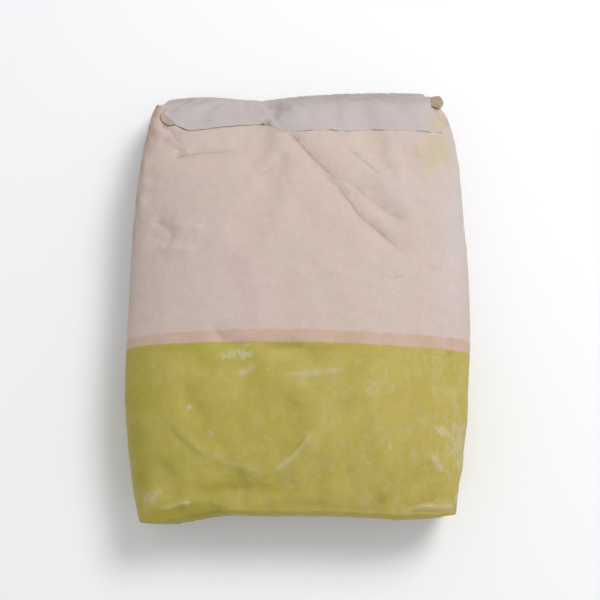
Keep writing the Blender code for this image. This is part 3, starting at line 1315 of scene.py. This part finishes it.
TOP_STRIP = CoverStrip(
    "top_cover_strip_paper", "top_cover_strip", axis=(0.196, 0.030), side=1.0, first_angle_deg=-21.0,
    first_ends=(-0.1510, 0.1460), last_ends=(-0.1225, 0.1580), lift=0.0003, tear=0.8, end_power=11.0,
    last_edge=((178, 128.5), (183, 130), (189, 131), (206, 129.5), (230, 126.5), (243, 125.5), (263, 125),
               (271, 126), (282, 131), (291, 130.5), (300, 131.5), (320, 130), (350, 131), (375, 130),
               (400, 130), (418, 131), (443, 133)))
FOOT_STRIP = CoverStrip(
    "foot_cover_strip_paper", "foot_cover_strip", axis=(-0.195, 0.045), side=-1.0, first_angle_deg=-38.0,
    first_ends=(-0.1480, 0.1480), last_ends=(-0.1500, 0.1500), last_angle_deg=16.0, cells=(140, 30))


@dataclass
class FoldedFlap:
    """A folded flap of paper that lies flat on a block end, and may reach past its side.

    Its outline is drawn by the photograph's pixels, in the plane of the block end round its
    root. Where the sack bulges through that plane, the flap lies over the bulge.
    """

    name: str
    root: Pixel
    gap: float
    thickness: float
    outline: tuple[Pixel, ...]
    rim_lift: float = 0.0
    spread: float = 4.0
    bevel_share: float = 0.3
    sharp_deg: float = 50.0

    def plane(self, view: Viewpoint, surface: BVHTree) -> tuple[Vector, Vector]:
        """Finds the plane of the block end round the flap's root.

        Args:
            view: The photograph's viewpoint.
            surface: The sack's search tree.

        Returns:
            A point of the plane and its direction outwards.
        """
        points = [view.meet(surface, (self.root[0] + across, self.root[1] + down))
                  for across in (-self.spread, 0.0, self.spread)
                  for down in (-self.spread / 2.0, 0.0, self.spread / 2.0)]
        outwards = sum((surface.find_nearest(point)[1] for point in points), Vector())
        return sum(points, Vector()) / len(points), outwards.normalized()

    def corners(self, view: Viewpoint, surface: BVHTree) -> tuple[list[Vector], Vector]:
        """Finds where the flap's corners and its middle lie.

        Args:
            view: The photograph's viewpoint.
            surface: The sack's search tree.

        Returns:
            The corners in order and then the middle, and the flap's direction outwards.
        """
        middle, outwards = self.plane(view, surface)
        places = []
        for pixel in (*self.outline, tuple(np.mean(self.outline, axis=0))):
            way = view.ray(pixel)
            far = (middle + outwards * self.gap - view.place).dot(outwards) / way.dot(outwards)
            hit, normal, _, near = surface.ray_cast(view.place, way)
            over_bulge = hit is not None and near < far
            places.append(hit + normal * self.gap if over_bulge else view.place + way * far)
        places[:-1] = [place + outwards * self.rim_lift for place in places[:-1]]
        return places, outwards

    def build(self, view: Viewpoint, surface: BVHTree, finish: bpy.types.Material) -> Piece:
        """Makes the flap from a flat disc that is set to its outline and thickened.

        Args:
            view: The photograph's viewpoint.
            surface: The sack's search tree.
            finish: The flap's material.

        Returns:
            The flap's object.
        """
        bpy.ops.object.select_all(action="DESELECT")
        bpy.ops.mesh.primitive_circle_add(vertices=len(self.outline), fill_type="TRIFAN")
        flap = named(self.name)
        places, outwards = self.corners(view, surface)
        hub = int(np.argmin(np.linalg.norm(points_of(flap.data), axis=1)))
        places.insert(hub, places.pop())
        set_points(flap.data, np.array(places))
        face_outwards(flap, outwards)
        finish_with(flap, "flap_thickness", "SOLIDIFY", thickness=self.thickness, offset=1.0)
        finish_with(flap, "soft_edge", "BEVEL", width=self.thickness * self.bevel_share, segments=2,
                    limit_method="ANGLE", angle_limit=math.radians(self.sharp_deg))
        flap.data.materials.append(finish)
        return flap


RIGHT_EAR = FoldedFlap("right_ear", (430.0, 103.0), 0.0009, 0.0008, (
    (431.0, 97.2), (435.6, 96.4), (439.6, 96.5), (441.6, 99.4), (443.2, 103.0), (442.6, 105.4),
    (441.2, 107.8), (439.0, 110.0), (436.8, 108.8), (434.6, 107.4), (431.0, 106.4)))
VALVE_SLEEVE = FoldedFlap("valve_sleeve_kraft", (171.0, 119.0), 0.0006, 0.0006, (
    (160.3, 117.8), (161.2, 115.0), (163.0, 113.8), (165.2, 115.6), (167.8, 118.2), (170.8, 120.4),
    (173.6, 122.4), (174.8, 124.6), (173.0, 126.2), (169.6, 126.2), (166.0, 124.8), (162.8, 122.8),
    (161.0, 120.6)), rim_lift=0.0009)


@dataclass(frozen=True)
class Clouds:
    """Cloudy noise between 0 and 1, which may be stretched and turned so that it runs one way."""

    scale: float
    detail: float = 3.0
    rough: float = 0.6
    bend: float = 0.0
    stretch: tuple[float, float, float] = (1.0, 1.0, 1.0)
    turn: float = 0.0


class Flow:
    """A number or a place that runs through a graph's nodes, to be worked on like a plain one."""

    def __init__(self, graph: "Graph", socket: bpy.types.NodeSocket) -> None:
        """Takes the graph and the output that the value comes from."""
        self.graph, self.socket = graph, socket

    def work(self, operation: str, first: object, second: object = 0.0) -> "Flow":
        """Adds a node that works out a sum.

        Args:
            operation: The sum's kind.
            first: A flow or a number.
            second: A flow or a number.

        Returns:
            The result.
        """
        node = self.graph.node("ShaderNodeMath", operation=operation)
        self.graph.feed(node.inputs[0], first)
        self.graph.feed(node.inputs[1], second)
        return Flow(self.graph, node.outputs[0])

    def __add__(self, other: object) -> "Flow":
        """Adds a value."""
        return self.work("ADD", self, other)

    def __sub__(self, other: object) -> "Flow":
        """Takes a value away."""
        return self.work("SUBTRACT", self, other)

    def __rsub__(self, other: object) -> "Flow":
        """Takes this away from a value."""
        return self.work("SUBTRACT", other, self)

    def __mul__(self, other: object) -> "Flow":
        """Multiplies by a value."""
        return self.work("MULTIPLY", self, other)

    def __truediv__(self, other: object) -> "Flow":
        """Divides by a value."""
        return self.work("DIVIDE", self, other)

    def __pow__(self, other: object) -> "Flow":
        """Raises to a power."""
        return self.work("POWER", self, other)

    def __abs__(self) -> "Flow":
        """Drops the sign."""
        return self.work("ABSOLUTE", self)

    def at_least(self, other: object) -> "Flow":
        """Gives the larger of this and a value."""
        return self.work("MAXIMUM", self, other)

    def at_most(self, other: object) -> "Flow":
        """Gives the smaller of this and a value."""
        return self.work("MINIMUM", self, other)

    def between(self, low: float, high: float, first: float = 0.0, last: float = 1.0) -> "Flow":
        """Turns a value between low and high smoothly into one between two others.

        Args:
            low: What turns into first, and whatever is below it.
            high: What turns into last, and whatever is above it.
            first: The first of the others.
            last: The last of them.

        Returns:
            The turned value.
        """
        node = self.graph.node("ShaderNodeMapRange", interpolation_type="SMOOTHSTEP")
        for socket, value in zip(node.inputs[:5], (self, low, high, first, last)):
            self.graph.feed(socket, value)
        return Flow(self.graph, node.outputs["Result"])


class Graph:
    """Places shader nodes in one tree and links them."""

    def __init__(self, tree: bpy.types.NodeTree) -> None:
        """Takes the tree that the nodes go into."""
        self.tree = tree

    def node(self, kind: str, **settings: object) -> bpy.types.Node:
        """Adds a node.

        Args:
            kind: The node's kind.
            settings: Its settings by their names.

        Returns:
            The node.
        """
        node = self.tree.nodes.new(kind)
        for name, value in settings.items():
            setattr(node, name, value)
        return node

    def feed(self, socket: bpy.types.NodeSocket, value: object) -> None:
        """Links a value to a socket, or sets the socket to it.

        Args:
            socket: An input of a node.
            value: A flow or another node's output, or else a number, a place or a colour.
        """
        value = value.socket if isinstance(value, Flow) else value
        if isinstance(value, bpy.types.NodeSocket):
            self.tree.links.new(value, socket)
        else:
            socket.default_value = (*value, 1.0) if socket.type == "RGBA" else value

    def blend(self, share: object, first: object, second: object, how: str = "MIX") -> bpy.types.NodeSocket:
        """Mixes two colours.

        Args:
            share: The second one's share, a flow or a number.
            first: A colour or the output of one.
            second: A colour or the output of one.
            how: How they mix.

        Returns:
            The mixed colour.
        """
        node = self.node("ShaderNodeMix", data_type="RGBA", blend_type=how)
        for name, value in (("Factor", share), ("A", first), ("B", second)):
            self.feed(node.inputs[name], value)
        return node.outputs["Result"]

    def noise(self, clouds: Clouds, place: Flow) -> Flow:
        """Lays clouds.

        Args:
            clouds: What they are like.
            place: The place on the piece.

        Returns:
            Their value there.
        """
        if (clouds.stretch, clouds.turn) != (Clouds.stretch, Clouds.turn):
            run = self.node("ShaderNodeMapping")
            turn = (0.0, 0.0, clouds.turn)
            for name, value in (("Vector", place), ("Scale", clouds.stretch), ("Rotation", turn)):
                self.feed(run.inputs[name], value)
            place = run.outputs["Vector"]
        node = self.node("ShaderNodeTexNoise")
        for name, value in (("Vector", place), ("Scale", clouds.scale), ("Detail", clouds.detail),
                            ("Roughness", clouds.rough), ("Distortion", clouds.bend)):
            self.feed(node.inputs[name], value)
        return Flow(self, node.outputs["Fac"])


@dataclass
class PaperEffects:
    """The node groups that more than one paper uses, each built once."""

    along_fibres: Clouds = Clouds(1.0, 2.0, 0.6, 0.6, (1.0, 0.18, 1.0), 0.15)
    across_fibres: Clouds = Clouds(0.8, 2.0, 0.6, 0.6, (0.22, 1.0, 1.0), -0.3)
    pulp: Clouds = Clouds(0.12)
    dust_clouds: Clouds = Clouds(48.0, 6.0, 0.66, 0.5)
    dust_streaks: Clouds = Clouds(100.0, 5.0, 0.64, 0.4, (1.0, 0.3, 1.0), 0.7)
    dust_grains: Clouds = Clouds(420.0)
    ragged: Clouds = Clouds(300.0)
    fibre_share: float = 0.6
    pulp_share: float = 0.4
    cloud_share: float = 0.6
    streak_share: float = 0.4
    grain_share: float = 0.35
    cover_share: float = 0.42
    cover_from: Span = (0.64, 0.90)
    cover_edge: Span = (0.02, 0.35)
    film_from: Span = (0.46, 0.80)
    broken_line: Turn = (0.30, 0.62, 0.25, 1.0)
    halo_width: float = 3.0
    halo_power: float = 2.0
    near_share: float = 0.7
    halo_share: float = 0.3

    def __post_init__(self) -> None:
        """Builds the groups."""
        self.fibre, self.dust, self.wear_and_shade = self.build_fibre(), self.build_dust(), self.build_wear_and_shade()

    @staticmethod
    def start(name: str, inputs: tuple[str, ...], outputs: tuple[str, ...]) -> tuple:
        """Starts a group with named sockets, a place and else numbers.

        Args:
            name: The group's name.
            inputs: The names of its input sockets.
            outputs: The names of its output sockets.

        Returns:
            The group's graph, its inputs as flows, and the sockets that take its outputs.
        """
        group = bpy.data.node_groups.new(name, "ShaderNodeTree")
        for names, way in ((inputs, "INPUT"), (outputs, "OUTPUT")):
            for socket in names:
                kind = "NodeSocketVector" if socket == "Place" else "NodeSocketFloat"
                group.interface.new_socket(socket, in_out=way, socket_type=kind)
        graph = Graph(group)
        given = graph.node("NodeGroupInput").outputs
        flows = {socket: Flow(graph, given[socket]) for socket in inputs}
        return graph, flows, graph.node("NodeGroupOutput").inputs

    def build_fibre(self) -> bpy.types.NodeTree:
        """Builds the paper's fibres and pulp clouds: a tone round 0.5 and a height."""
        graph, given, taken = self.start("paper_fibre", ("Place", "Size"), ("Tone", "Height"))
        node = graph.node("ShaderNodeVectorMath", operation="SCALE")
        graph.feed(node.inputs[0], given["Place"])
        graph.feed(node.inputs["Scale"], given["Size"].work("DIVIDE", 1.0, given["Size"]))
        place = Flow(graph, node.outputs[0])
        fibres = (graph.noise(self.along_fibres, place) + graph.noise(self.across_fibres, place)) * 0.5
        pulp = graph.noise(self.pulp, place)
        graph.feed(taken["Tone"], fibres * self.fibre_share + pulp * self.pulp_share)
        graph.feed(taken["Height"], fibres)
        return graph.tree

    def build_dust(self) -> bpy.types.NodeTree:
        """Builds a film of cement dust: cloudy, streaky and thickest where its cover is."""
        graph, given, taken = self.start("dust_film", ("Place", "Cover", "Everywhere"), ("Mask",))
        cloud, streak, grains = (graph.noise(clouds, given["Place"]) for clouds in (
            self.dust_clouds, self.dust_streaks, self.dust_grains))
        broken = cloud * self.cloud_share + streak * self.streak_share + (grains - 0.5) * self.grain_share
        local = (broken + given["Cover"] * self.cover_share).between(*self.cover_from)
        local = local * given["Cover"].between(*self.cover_edge)
        graph.feed(taken["Mask"], local.at_least(broken.between(*self.film_from) * given["Everywhere"]))
        return graph.tree

    def build_wear_and_shade(self) -> bpy.types.NodeTree:
        """Builds what a fold does to a print: a worn pale line where its tone is positive, and a line of
        painted shade where it is negative.
        """
        graph, given, taken = self.start(
            "fold_wear_and_shade", ("Place", "Line", "Tone", "Width"), ("Worn", "Painted Shade", "Height"))
        ragged = graph.noise(self.ragged, given["Place"])
        width = given["Width"] * (ragged + 0.5)
        distance = abs(given["Line"])
        near = (1.0 - distance / width).at_least(0.0)
        wide = (1.0 - distance / (width * self.halo_width)).at_least(0.0) ** self.halo_power
        worn, shade_amount = given["Tone"].at_least(0.0), (given["Tone"] * -1.0).at_least(0.0)
        graph.feed(taken["Worn"], worn * (near * ragged.between(*self.broken_line)))
        # Negative tones paint shade on the line and, more faintly, in a halo beside it.
        graph.feed(taken["Painted Shade"], shade_amount * (near * self.near_share + wide * self.halo_share))
        graph.feed(taken["Height"], given["Tone"] * near)
        return graph.tree


@dataclass(frozen=True)
class PaperFinish:
    """What every paper here shares: its colour, fibres, roughness and relief."""

    name: str
    colour: Colour
    roughness: float
    fibre_contrast: float
    fibre_depth: float
    fibre_size: float = 0.0010
    relief: float = 0.0010
    rougher: float = 0.05
    rougher_from: Span = (0.3, 0.7)
    fibre_from: Span = (0.25, 0.75)


class PaperGraph(Graph):
    """The graph of one paper's material, with its fibres laid."""

    def __init__(self, finish: PaperFinish, effects: PaperEffects) -> None:
        """Starts the material.

        Args:
            finish: The paper's finish.
            effects: The shared groups.
        """
        self.finish = finish
        self.material = bpy.data.materials.new(finish.name)
        self.material.use_nodes = True
        super().__init__(self.material.node_tree)
        self.shader = self.tree.nodes["Principled BSDF"]
        self.place = Flow(self, self.node("ShaderNodeTexCoord").outputs["Object"])
        self.fibre = self.effect(effects.fibre, Size=finish.fibre_size)

    def clouds(self, clouds: Clouds) -> Flow:
        """Lays clouds over the piece."""
        return self.noise(clouds, self.place)

    def attribute(self, name: str) -> Flow:
        """Reads one of the piece's own numbers."""
        return Flow(self, self.node("ShaderNodeAttribute", attribute_name=name).outputs["Fac"])

    def across(self) -> Flow:
        """Gives how far across the sack a place is."""
        node = self.node("ShaderNodeSeparateXYZ")
        self.feed(node.inputs[0], self.place)
        return Flow(self, node.outputs["X"])

    def effect(self, group: bpy.types.NodeTree, **values: object) -> dict[str, Flow]:
        """Places one of the shared groups.

        Args:
            group: The group.
            values: What goes into its inputs, apart from the place.

        Returns:
            Its outputs by their names.
        """
        node = self.node("ShaderNodeGroup", node_tree=group)
        for name, value in {"Place": self.place, **values}.items():
            self.feed(node.inputs[name], value)
        return {socket.name: Flow(self, socket) for socket in node.outputs}

    def finish_off(self, colour: bpy.types.NodeSocket, roughness: Flow,
                   *heights: Flow) -> bpy.types.Material:
        """Shades the colour with the fibres and feeds the shader.

        Args:
            colour: The paper's colour.
            roughness: Its roughness.
            heights: What is added to its relief, after the fibres' own.

        Returns:
            The finished material.
        """
        half = self.finish.fibre_contrast / 2.0
        shade = self.fibre["Tone"].between(*self.finish.fibre_from, 1.0 - half, 1.0 + half)
        tint = self.node("ShaderNodeCombineColor")
        for socket in tint.inputs[:3]:
            self.feed(socket, shade)
        self.feed(self.shader.inputs["Base Color"], self.blend(1.0, colour, tint.outputs[0], "MULTIPLY"))
        self.feed(self.shader.inputs["Roughness"], roughness)
        bump = self.node("ShaderNodeBump")
        self.feed(bump.inputs["Strength"], 1.0)
        self.feed(bump.inputs["Distance"], self.finish.relief)
        self.feed(bump.inputs["Height"], sum(heights, self.fibre["Height"] * self.finish.fibre_depth))
        self.feed(self.shader.inputs["Normal"], bump.outputs["Normal"])
        return self.material


@dataclass(frozen=True)
class PrintedPaper(PaperFinish):
    """The printed outer paper: pale above, a thin band, and yellow-olive below."""

    upper_yellow: Colour = (0.552, 0.450, 0.362)
    upper_pink: Colour = (0.560, 0.436, 0.388)
    pale: Colour = (0.560, 0.480, 0.465)
    band: Colour = (0.548, 0.376, 0.300)
    band_tan: Colour = (0.515, 0.362, 0.245)
    lower_left: Colour = (0.368, 0.314, 0.038)
    lower_right: Colour = (0.424, 0.334, 0.060)
    lower_bright: Colour = (0.462, 0.374, 0.080)
    lower_deep: Colour = (0.355, 0.315, 0.028)
    # Cleaner, deeper print and painted shade darken the olive towards this colour.
    lower_clean_and_shaded: Colour = (0.318, 0.262, 0.018)
    stain: Colour = (0.490, 0.430, 0.285)
    # Painted shade and scuffs darken the paper towards this brown.
    shade_and_scuff_colour: Colour = (0.340, 0.215, 0.140)
    dust: Colour = (0.530, 0.480, 0.310)
    bare: Colour = (0.620, 0.560, 0.430)
    # The colour of the painted shade along the creases.
    dirt_and_shade: Colour = (0.150, 0.105, 0.075)
    band_top: float = -0.0535
    band_foot: float = -0.0665
    band_slant: float = 0.0044
    band_narrower: float = 0.0018
    bleed: float = 0.0007
    wobble: float = 0.0016
    fold_width: float = 0.0016
    edge_wobble: Clouds = Clouds(60.0, 4.0, 0.55)
    mottle: Clouds = Clouds(16.0, 4.0, 0.6, 0.8)
    patches: Clouds = Clouds(38.0, 5.0, 0.65, 0.4)
    tint: Clouds = Clouds(9.0, 3.0, 0.5, 0.5)
    fine_dust: Clouds = Clouds(90.0, 6.0, 0.68, 0.6, (1.0, 0.5, 1.0), 0.6)
    deep_print: Clouds = Clouds(22.0, 4.0, 0.6, 0.6, (1.0, 0.7, 1.0), 0.5)
    smear: Clouds = Clouds(60.0, 5.0, 0.6, 0.6)
    dents: Clouds = Clouds(75.0, 5.0, 0.62, 0.5)
    pink_from: Turn = (0.35, 0.68, 0.0, 0.8)
    yellow_from: Turn = (0.50, 0.70, 0.0, 0.5)
    pale_share: float = 0.75
    lower_turns: Span = (-0.17, 0.13)
    bright_from: Turn = (0.36, 0.70, 0.08, 0.80)
    fine_from: Span = (0.50, 0.74)
    fine_share: float = 0.6
    deep_from: Turn = (0.54, 0.74, 0.0, 0.5)
    clean_and_shade_share: float = 0.80
    film_grows: Turn = (-0.13, 0.14, 0.20, 0.50)
    clean_and_shade_broken: Turn = (0.25, 0.60, 0.5, 1.0)
    slant_from: Span = (-0.01, 0.14)
    narrow_until: Span = (-0.12, -0.06)
    tan_from: Span = (0.34, 0.70)
    smear_share: float = 0.7
    smear_from: Span = (0.12, 0.85)
    stain_edge: Span = (0.02, 0.12)
    stain_share: float = 0.85
    shade_and_scuff_broken: Turn = (0.25, 0.65, 0.45, 0.75)
    dust_share: float = 0.80
    wear_and_shade_broken: Turn = (0.30, 0.60, 0.5, 1.0)
    wear_beside: float = 0.50
    wear_on_line: float = 0.70
    # How strongly painted shade darkens the paper beside and on the creases.
    shade_beside: float = -0.16
    shade_on_line: float = 0.42
    dust_rougher: float = 0.12
    dent_depth: float = 0.50
    fold_depth: float = 0.35

    def upper(self, graph: PaperGraph) -> bpy.types.NodeSocket:
        """Colours the pale ground above the band.

        Args:
            graph: The material's graph.

        Returns:
            The ground's colour.
        """
        mottle, tint = graph.clouds(self.mottle), graph.clouds(self.tint)
        colour = graph.blend(mottle.between(*self.pink_from), self.colour, self.upper_pink)
        colour = graph.blend(tint.between(*self.yellow_from), colour, self.upper_yellow)
        return graph.blend(graph.attribute("pale") * self.pale_share, colour, self.pale)

    def lower(self, graph: PaperGraph, film_share: Flow, clean_print_and_shade: Flow) -> bpy.types.NodeSocket:
        """Colours the yellow-olive ground below the band.

        Args:
            graph: The material's graph.
            film_share: How much dust lies everywhere.
            clean_print_and_shade: How little the print is worn, and how much painted shade darkens it.

        Returns:
            The ground's colour.
        """
        mottle, deep = graph.clouds(self.mottle), graph.clouds(self.deep_print)
        colour = graph.blend(graph.across().between(*self.lower_turns), self.lower_left, self.lower_right)
        colour = graph.blend(mottle.between(*self.bright_from), colour, self.lower_bright)
        fine = graph.clouds(self.fine_dust).between(*self.fine_from) * (film_share * self.fine_share)
        colour = graph.blend(fine, colour, self.dust)
        colour = graph.blend(deep.between(*self.deep_from), colour, self.lower_deep)
        # Cleaner print and painted shade darken the olive where their dabs lie.
        return graph.blend(clean_print_and_shade * self.clean_and_shade_share, colour, self.lower_clean_and_shaded)

    def above(self, edge: float, along: Flow) -> Flow:
        """Gives a mask that is 0 below an edge of the print and 1 above it."""
        return along.between(edge - self.bleed, edge + self.bleed)

    def material(self, effects: PaperEffects) -> bpy.types.Material:
        """Builds the printed paper's material.

        Args:
            effects: The shared groups.

        Returns:
            The material.
        """
        graph = PaperGraph(self, effects)
        patches, across = graph.clouds(self.patches), graph.across()
        film_share = across.between(*self.film_grows)
        # The dabs of cleaner print and painted shade, broken up by patches.
        clean_print_and_shade = (graph.attribute("clean_print_and_shade") * patches.between(*self.clean_and_shade_broken)).at_most(1.0)
        along = graph.attribute("paper_y") + (graph.clouds(self.edge_wobble) - 0.5) * self.wobble
        along = along + across.between(*self.slant_from, 0.0, self.band_slant)
        above_lower = self.above(self.band_foot, along)
        narrower = across.between(*self.narrow_until, self.band_narrower, 0.0)
        above_band = self.above(self.band_top, along + narrower)
        band = graph.blend(patches.between(*self.tan_from), self.band, self.band_tan)
        colour = graph.blend(above_band, band, self.upper(graph))
        colour = graph.blend(above_lower, self.lower(graph, film_share, clean_print_and_shade), colour)

        stain = graph.attribute("stain")
        smear = (stain + (graph.clouds(self.smear) - 0.5) * self.smear_share).between(*self.smear_from)
        smear = smear * stain.between(*self.stain_edge)
        colour = graph.blend(smear * self.stain_share, colour, self.stain)
        # Painted shade and scuffs: the dabs darken the paper where shade falls on it.
        painted_shade_and_scuff = graph.attribute("painted_shade_and_scuff") * patches.between(*self.shade_and_scuff_broken)
        colour = graph.blend(painted_shade_and_scuff, colour, self.shade_and_scuff_colour)
        film = graph.effect(effects.dust, Cover=graph.attribute("dust"),
                            Everywhere=(1.0 - above_lower) * film_share)["Mask"] * (1.0 - clean_print_and_shade)
        colour = graph.blend(film * self.dust_share, colour, self.dust)
        wear_and_shade = graph.effect(effects.wear_and_shade, Line=graph.attribute("fold_line"),
                            Tone=graph.attribute("fold_wear_and_shade_tone"), Width=self.fold_width)
        wide = graph.attribute("fold_wear_and_shade") * patches.between(*self.wear_and_shade_broken)
        worn = (wide * self.wear_beside).at_least(wear_and_shade["Worn"] * self.wear_on_line)
        colour = graph.blend(worn.at_least(0.0), colour, self.bare)
        # Painted shade along and beside the creases, where their tones are negative.
        painted_crease_shade = (wide * self.shade_beside).at_least(wear_and_shade["Painted Shade"] * self.shade_on_line)
        colour = graph.blend(painted_crease_shade, colour, self.dirt_and_shade)
        roughness = film * self.dust_rougher + self.roughness
        roughness = roughness + patches.between(*self.rougher_from, -self.rougher, self.rougher)
        return graph.finish_off(colour, roughness, graph.clouds(self.dents) * self.dent_depth,
                                wear_and_shade["Height"] * self.fold_depth)


@dataclass(frozen=True)
class PlainPaper(PaperFinish):
    """An unprinted paper, pale or kraft, a little soiled, and darkened by painted shade where its shade dabs
    lie.
    """

    soiled: Colour = (0.42, 0.36, 0.33)
    dusty: Colour = (0.72, 0.68, 0.64)
    stain: Colour = (0.47, 0.42, 0.28)
    # Painted shade and scuffs darken the paper towards this brown.
    shade_and_scuff_colour: Colour = (0.330, 0.270, 0.205)
    streaks: Clouds = Clouds(45.0, 4.0, 0.6, 0.8, (0.6, 1.0, 1.0), 0.4)
    patches: Clouds = Clouds(30.0, 4.0)
    dents: Clouds = Clouds(90.0, 4.0, 0.55, 0.5)
    soiling: float = 0.5
    dirty_streaks: Span = (0.45, 0.80)
    dirty_patches: Span = (0.35, 0.70)
    dust_everywhere: float = 0.5
    dust_share: float = 0.25
    stain_share: float = 0.75
    shade_and_scuff_broken: Turn = (0.30, 0.65, 0.40, 0.72)
    dent_depth: float = 0.4

    def material(self, effects: PaperEffects) -> bpy.types.Material:
        """Builds the plain paper's material.

        Args:
            effects: The shared groups.

        Returns:
            The material.
        """
        graph = PaperGraph(self, effects)
        patches = graph.clouds(self.patches)
        streaks = graph.clouds(self.streaks)
        dirt_and_shade = streaks.between(*self.dirty_streaks) * patches.between(*self.dirty_patches)
        film = graph.effect(effects.dust, Cover=0.0, Everywhere=self.dust_everywhere)["Mask"]
        # Painted shade and scuffs: the dabs darken the paper where shade falls on it.
        painted_shade_and_scuff = graph.attribute("painted_shade_and_scuff") * patches.between(*self.shade_and_scuff_broken)
        colour = self.colour
        for share, mark_colour in (
                (dirt_and_shade * self.soiling, self.soiled), (film * self.dust_share, self.dusty),
                (graph.attribute("stain") * self.stain_share, self.stain), (painted_shade_and_scuff, self.shade_and_scuff_colour)):
            colour = graph.blend(share, colour, mark_colour)
        roughness = patches.between(*self.rougher_from, self.roughness - self.rougher,
                                    self.roughness + self.rougher)
        return graph.finish_off(colour, roughness, graph.clouds(self.dents) * self.dent_depth)


@dataclass(frozen=True)
class FloorPaint:
    """The studio floor's even pale paint."""

    colour: Colour = (0.90, 0.90, 0.90)
    roughness: float = 0.9

    def material(self) -> bpy.types.Material:
        """Builds the floor's material."""
        material = bpy.data.materials.new("floor_paint")
        material.use_nodes = True
        shader = material.node_tree.nodes["Principled BSDF"]
        shader.inputs["Base Color"].default_value = (*self.colour, 1.0)
        shader.inputs["Roughness"].default_value = self.roughness
        return material


@dataclass(frozen=True)
class Studio:
    """The pale floor and the soft light that the sack is shown in."""

    floor_size: float = 12.0
    sky: Colour = (0.95, 0.97, 1.0)
    sky_strength: float = 0.64
    light_azimuth_deg: float = 50.0
    light_elevation_deg: float = 58.0
    light_distance: float = 2.6
    light_size: float = 1.0
    light_power: float = 36.0

    def add_floor(self) -> None:
        """Adds the pale floor that the sack lies on."""
        bpy.ops.object.select_all(action="DESELECT")
        bpy.ops.mesh.primitive_plane_add(size=self.floor_size)
        floor = bpy.context.object
        floor.name = "studio_floor"
        floor.data.materials.append(FloorPaint().material())

    def add_light(self) -> None:
        """Adds the soft square light, which faces the sack."""
        data = bpy.data.lights.new("window_light", "AREA")
        data.shape, data.size, data.energy = "SQUARE", self.light_size, self.light_power
        light = bpy.data.objects.new("window_light", data)
        turn, rise = math.radians(self.light_azimuth_deg), math.radians(self.light_elevation_deg)
        way = Vector((math.sin(turn) * math.cos(rise), math.cos(turn) * math.cos(rise), math.sin(rise)))
        light.location = way * self.light_distance
        light.rotation_mode = "QUATERNION"
        light.rotation_quaternion = way.to_track_quat("Z", "Y")
        bpy.context.scene.collection.objects.link(light)

    def build(self) -> None:
        """Sets the world, the floor and the light."""
        world = bpy.data.worlds.new("soft_daylight")
        bpy.context.scene.world = world
        world.use_nodes = True
        background = world.node_tree.nodes["Background"]
        background.inputs["Color"].default_value = (*self.sky, 1.0)
        background.inputs["Strength"].default_value = self.sky_strength
        self.add_floor()
        self.add_light()
        bpy.context.scene.view_settings.view_transform = "Standard"


def main() -> None:
    """Builds every piece in order and reports it."""
    logging.basicConfig(level=logging.INFO, format="%(message)s")
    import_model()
    view = Viewpoint()
    view.add_camera()
    effects = PaperEffects()
    printed = PrintedPaper("printed_paper", (0.552, 0.444, 0.384), 0.72, 0.15, 0.14).material(effects)
    strip_paper = PlainPaper("strip_paper", (0.490, 0.425, 0.410), 0.80, 0.10, 0.16).material(effects)
    kraft = PlainPaper("kraft_paper", (0.440, 0.322, 0.248), 0.82, 0.18, 0.25,
                       soiled=(0.30, 0.21, 0.14)).material(effects)
    ear_paper = PlainPaper("ear_paper", (0.322, 0.245, 0.155), 0.80, 0.15, 0.16).material(effects)
    sack = FilledSack(view).build()
    surface = tree_of(sack)
    top_strip = TOP_STRIP.build(view, surface)
    foot_strip = FOOT_STRIP.build(view, surface)
    sleeve = VALVE_SLEEVE.build(view, surface, kraft)
    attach(sleeve, "root")
    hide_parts("valve_sleeve")
    right_ear = RIGHT_EAR.build(view, surface, ear_paper)
    for piece in (top_strip, sleeve):
        soil_and_shade(piece, view)
    for piece, finish in ((sack, printed), (top_strip, strip_paper), (foot_strip, strip_paper)):
        piece.data.materials.append(finish)
    choose_only(sack)
    right_ear.select_set(True)
    bpy.ops.object.join()
    for piece in (sack, top_strip, foot_strip, sleeve):
        log.info("%s: %d faces", piece.name, len(piece.data.polygons))
    Studio().build()


if __name__ == "__main__":
    main()
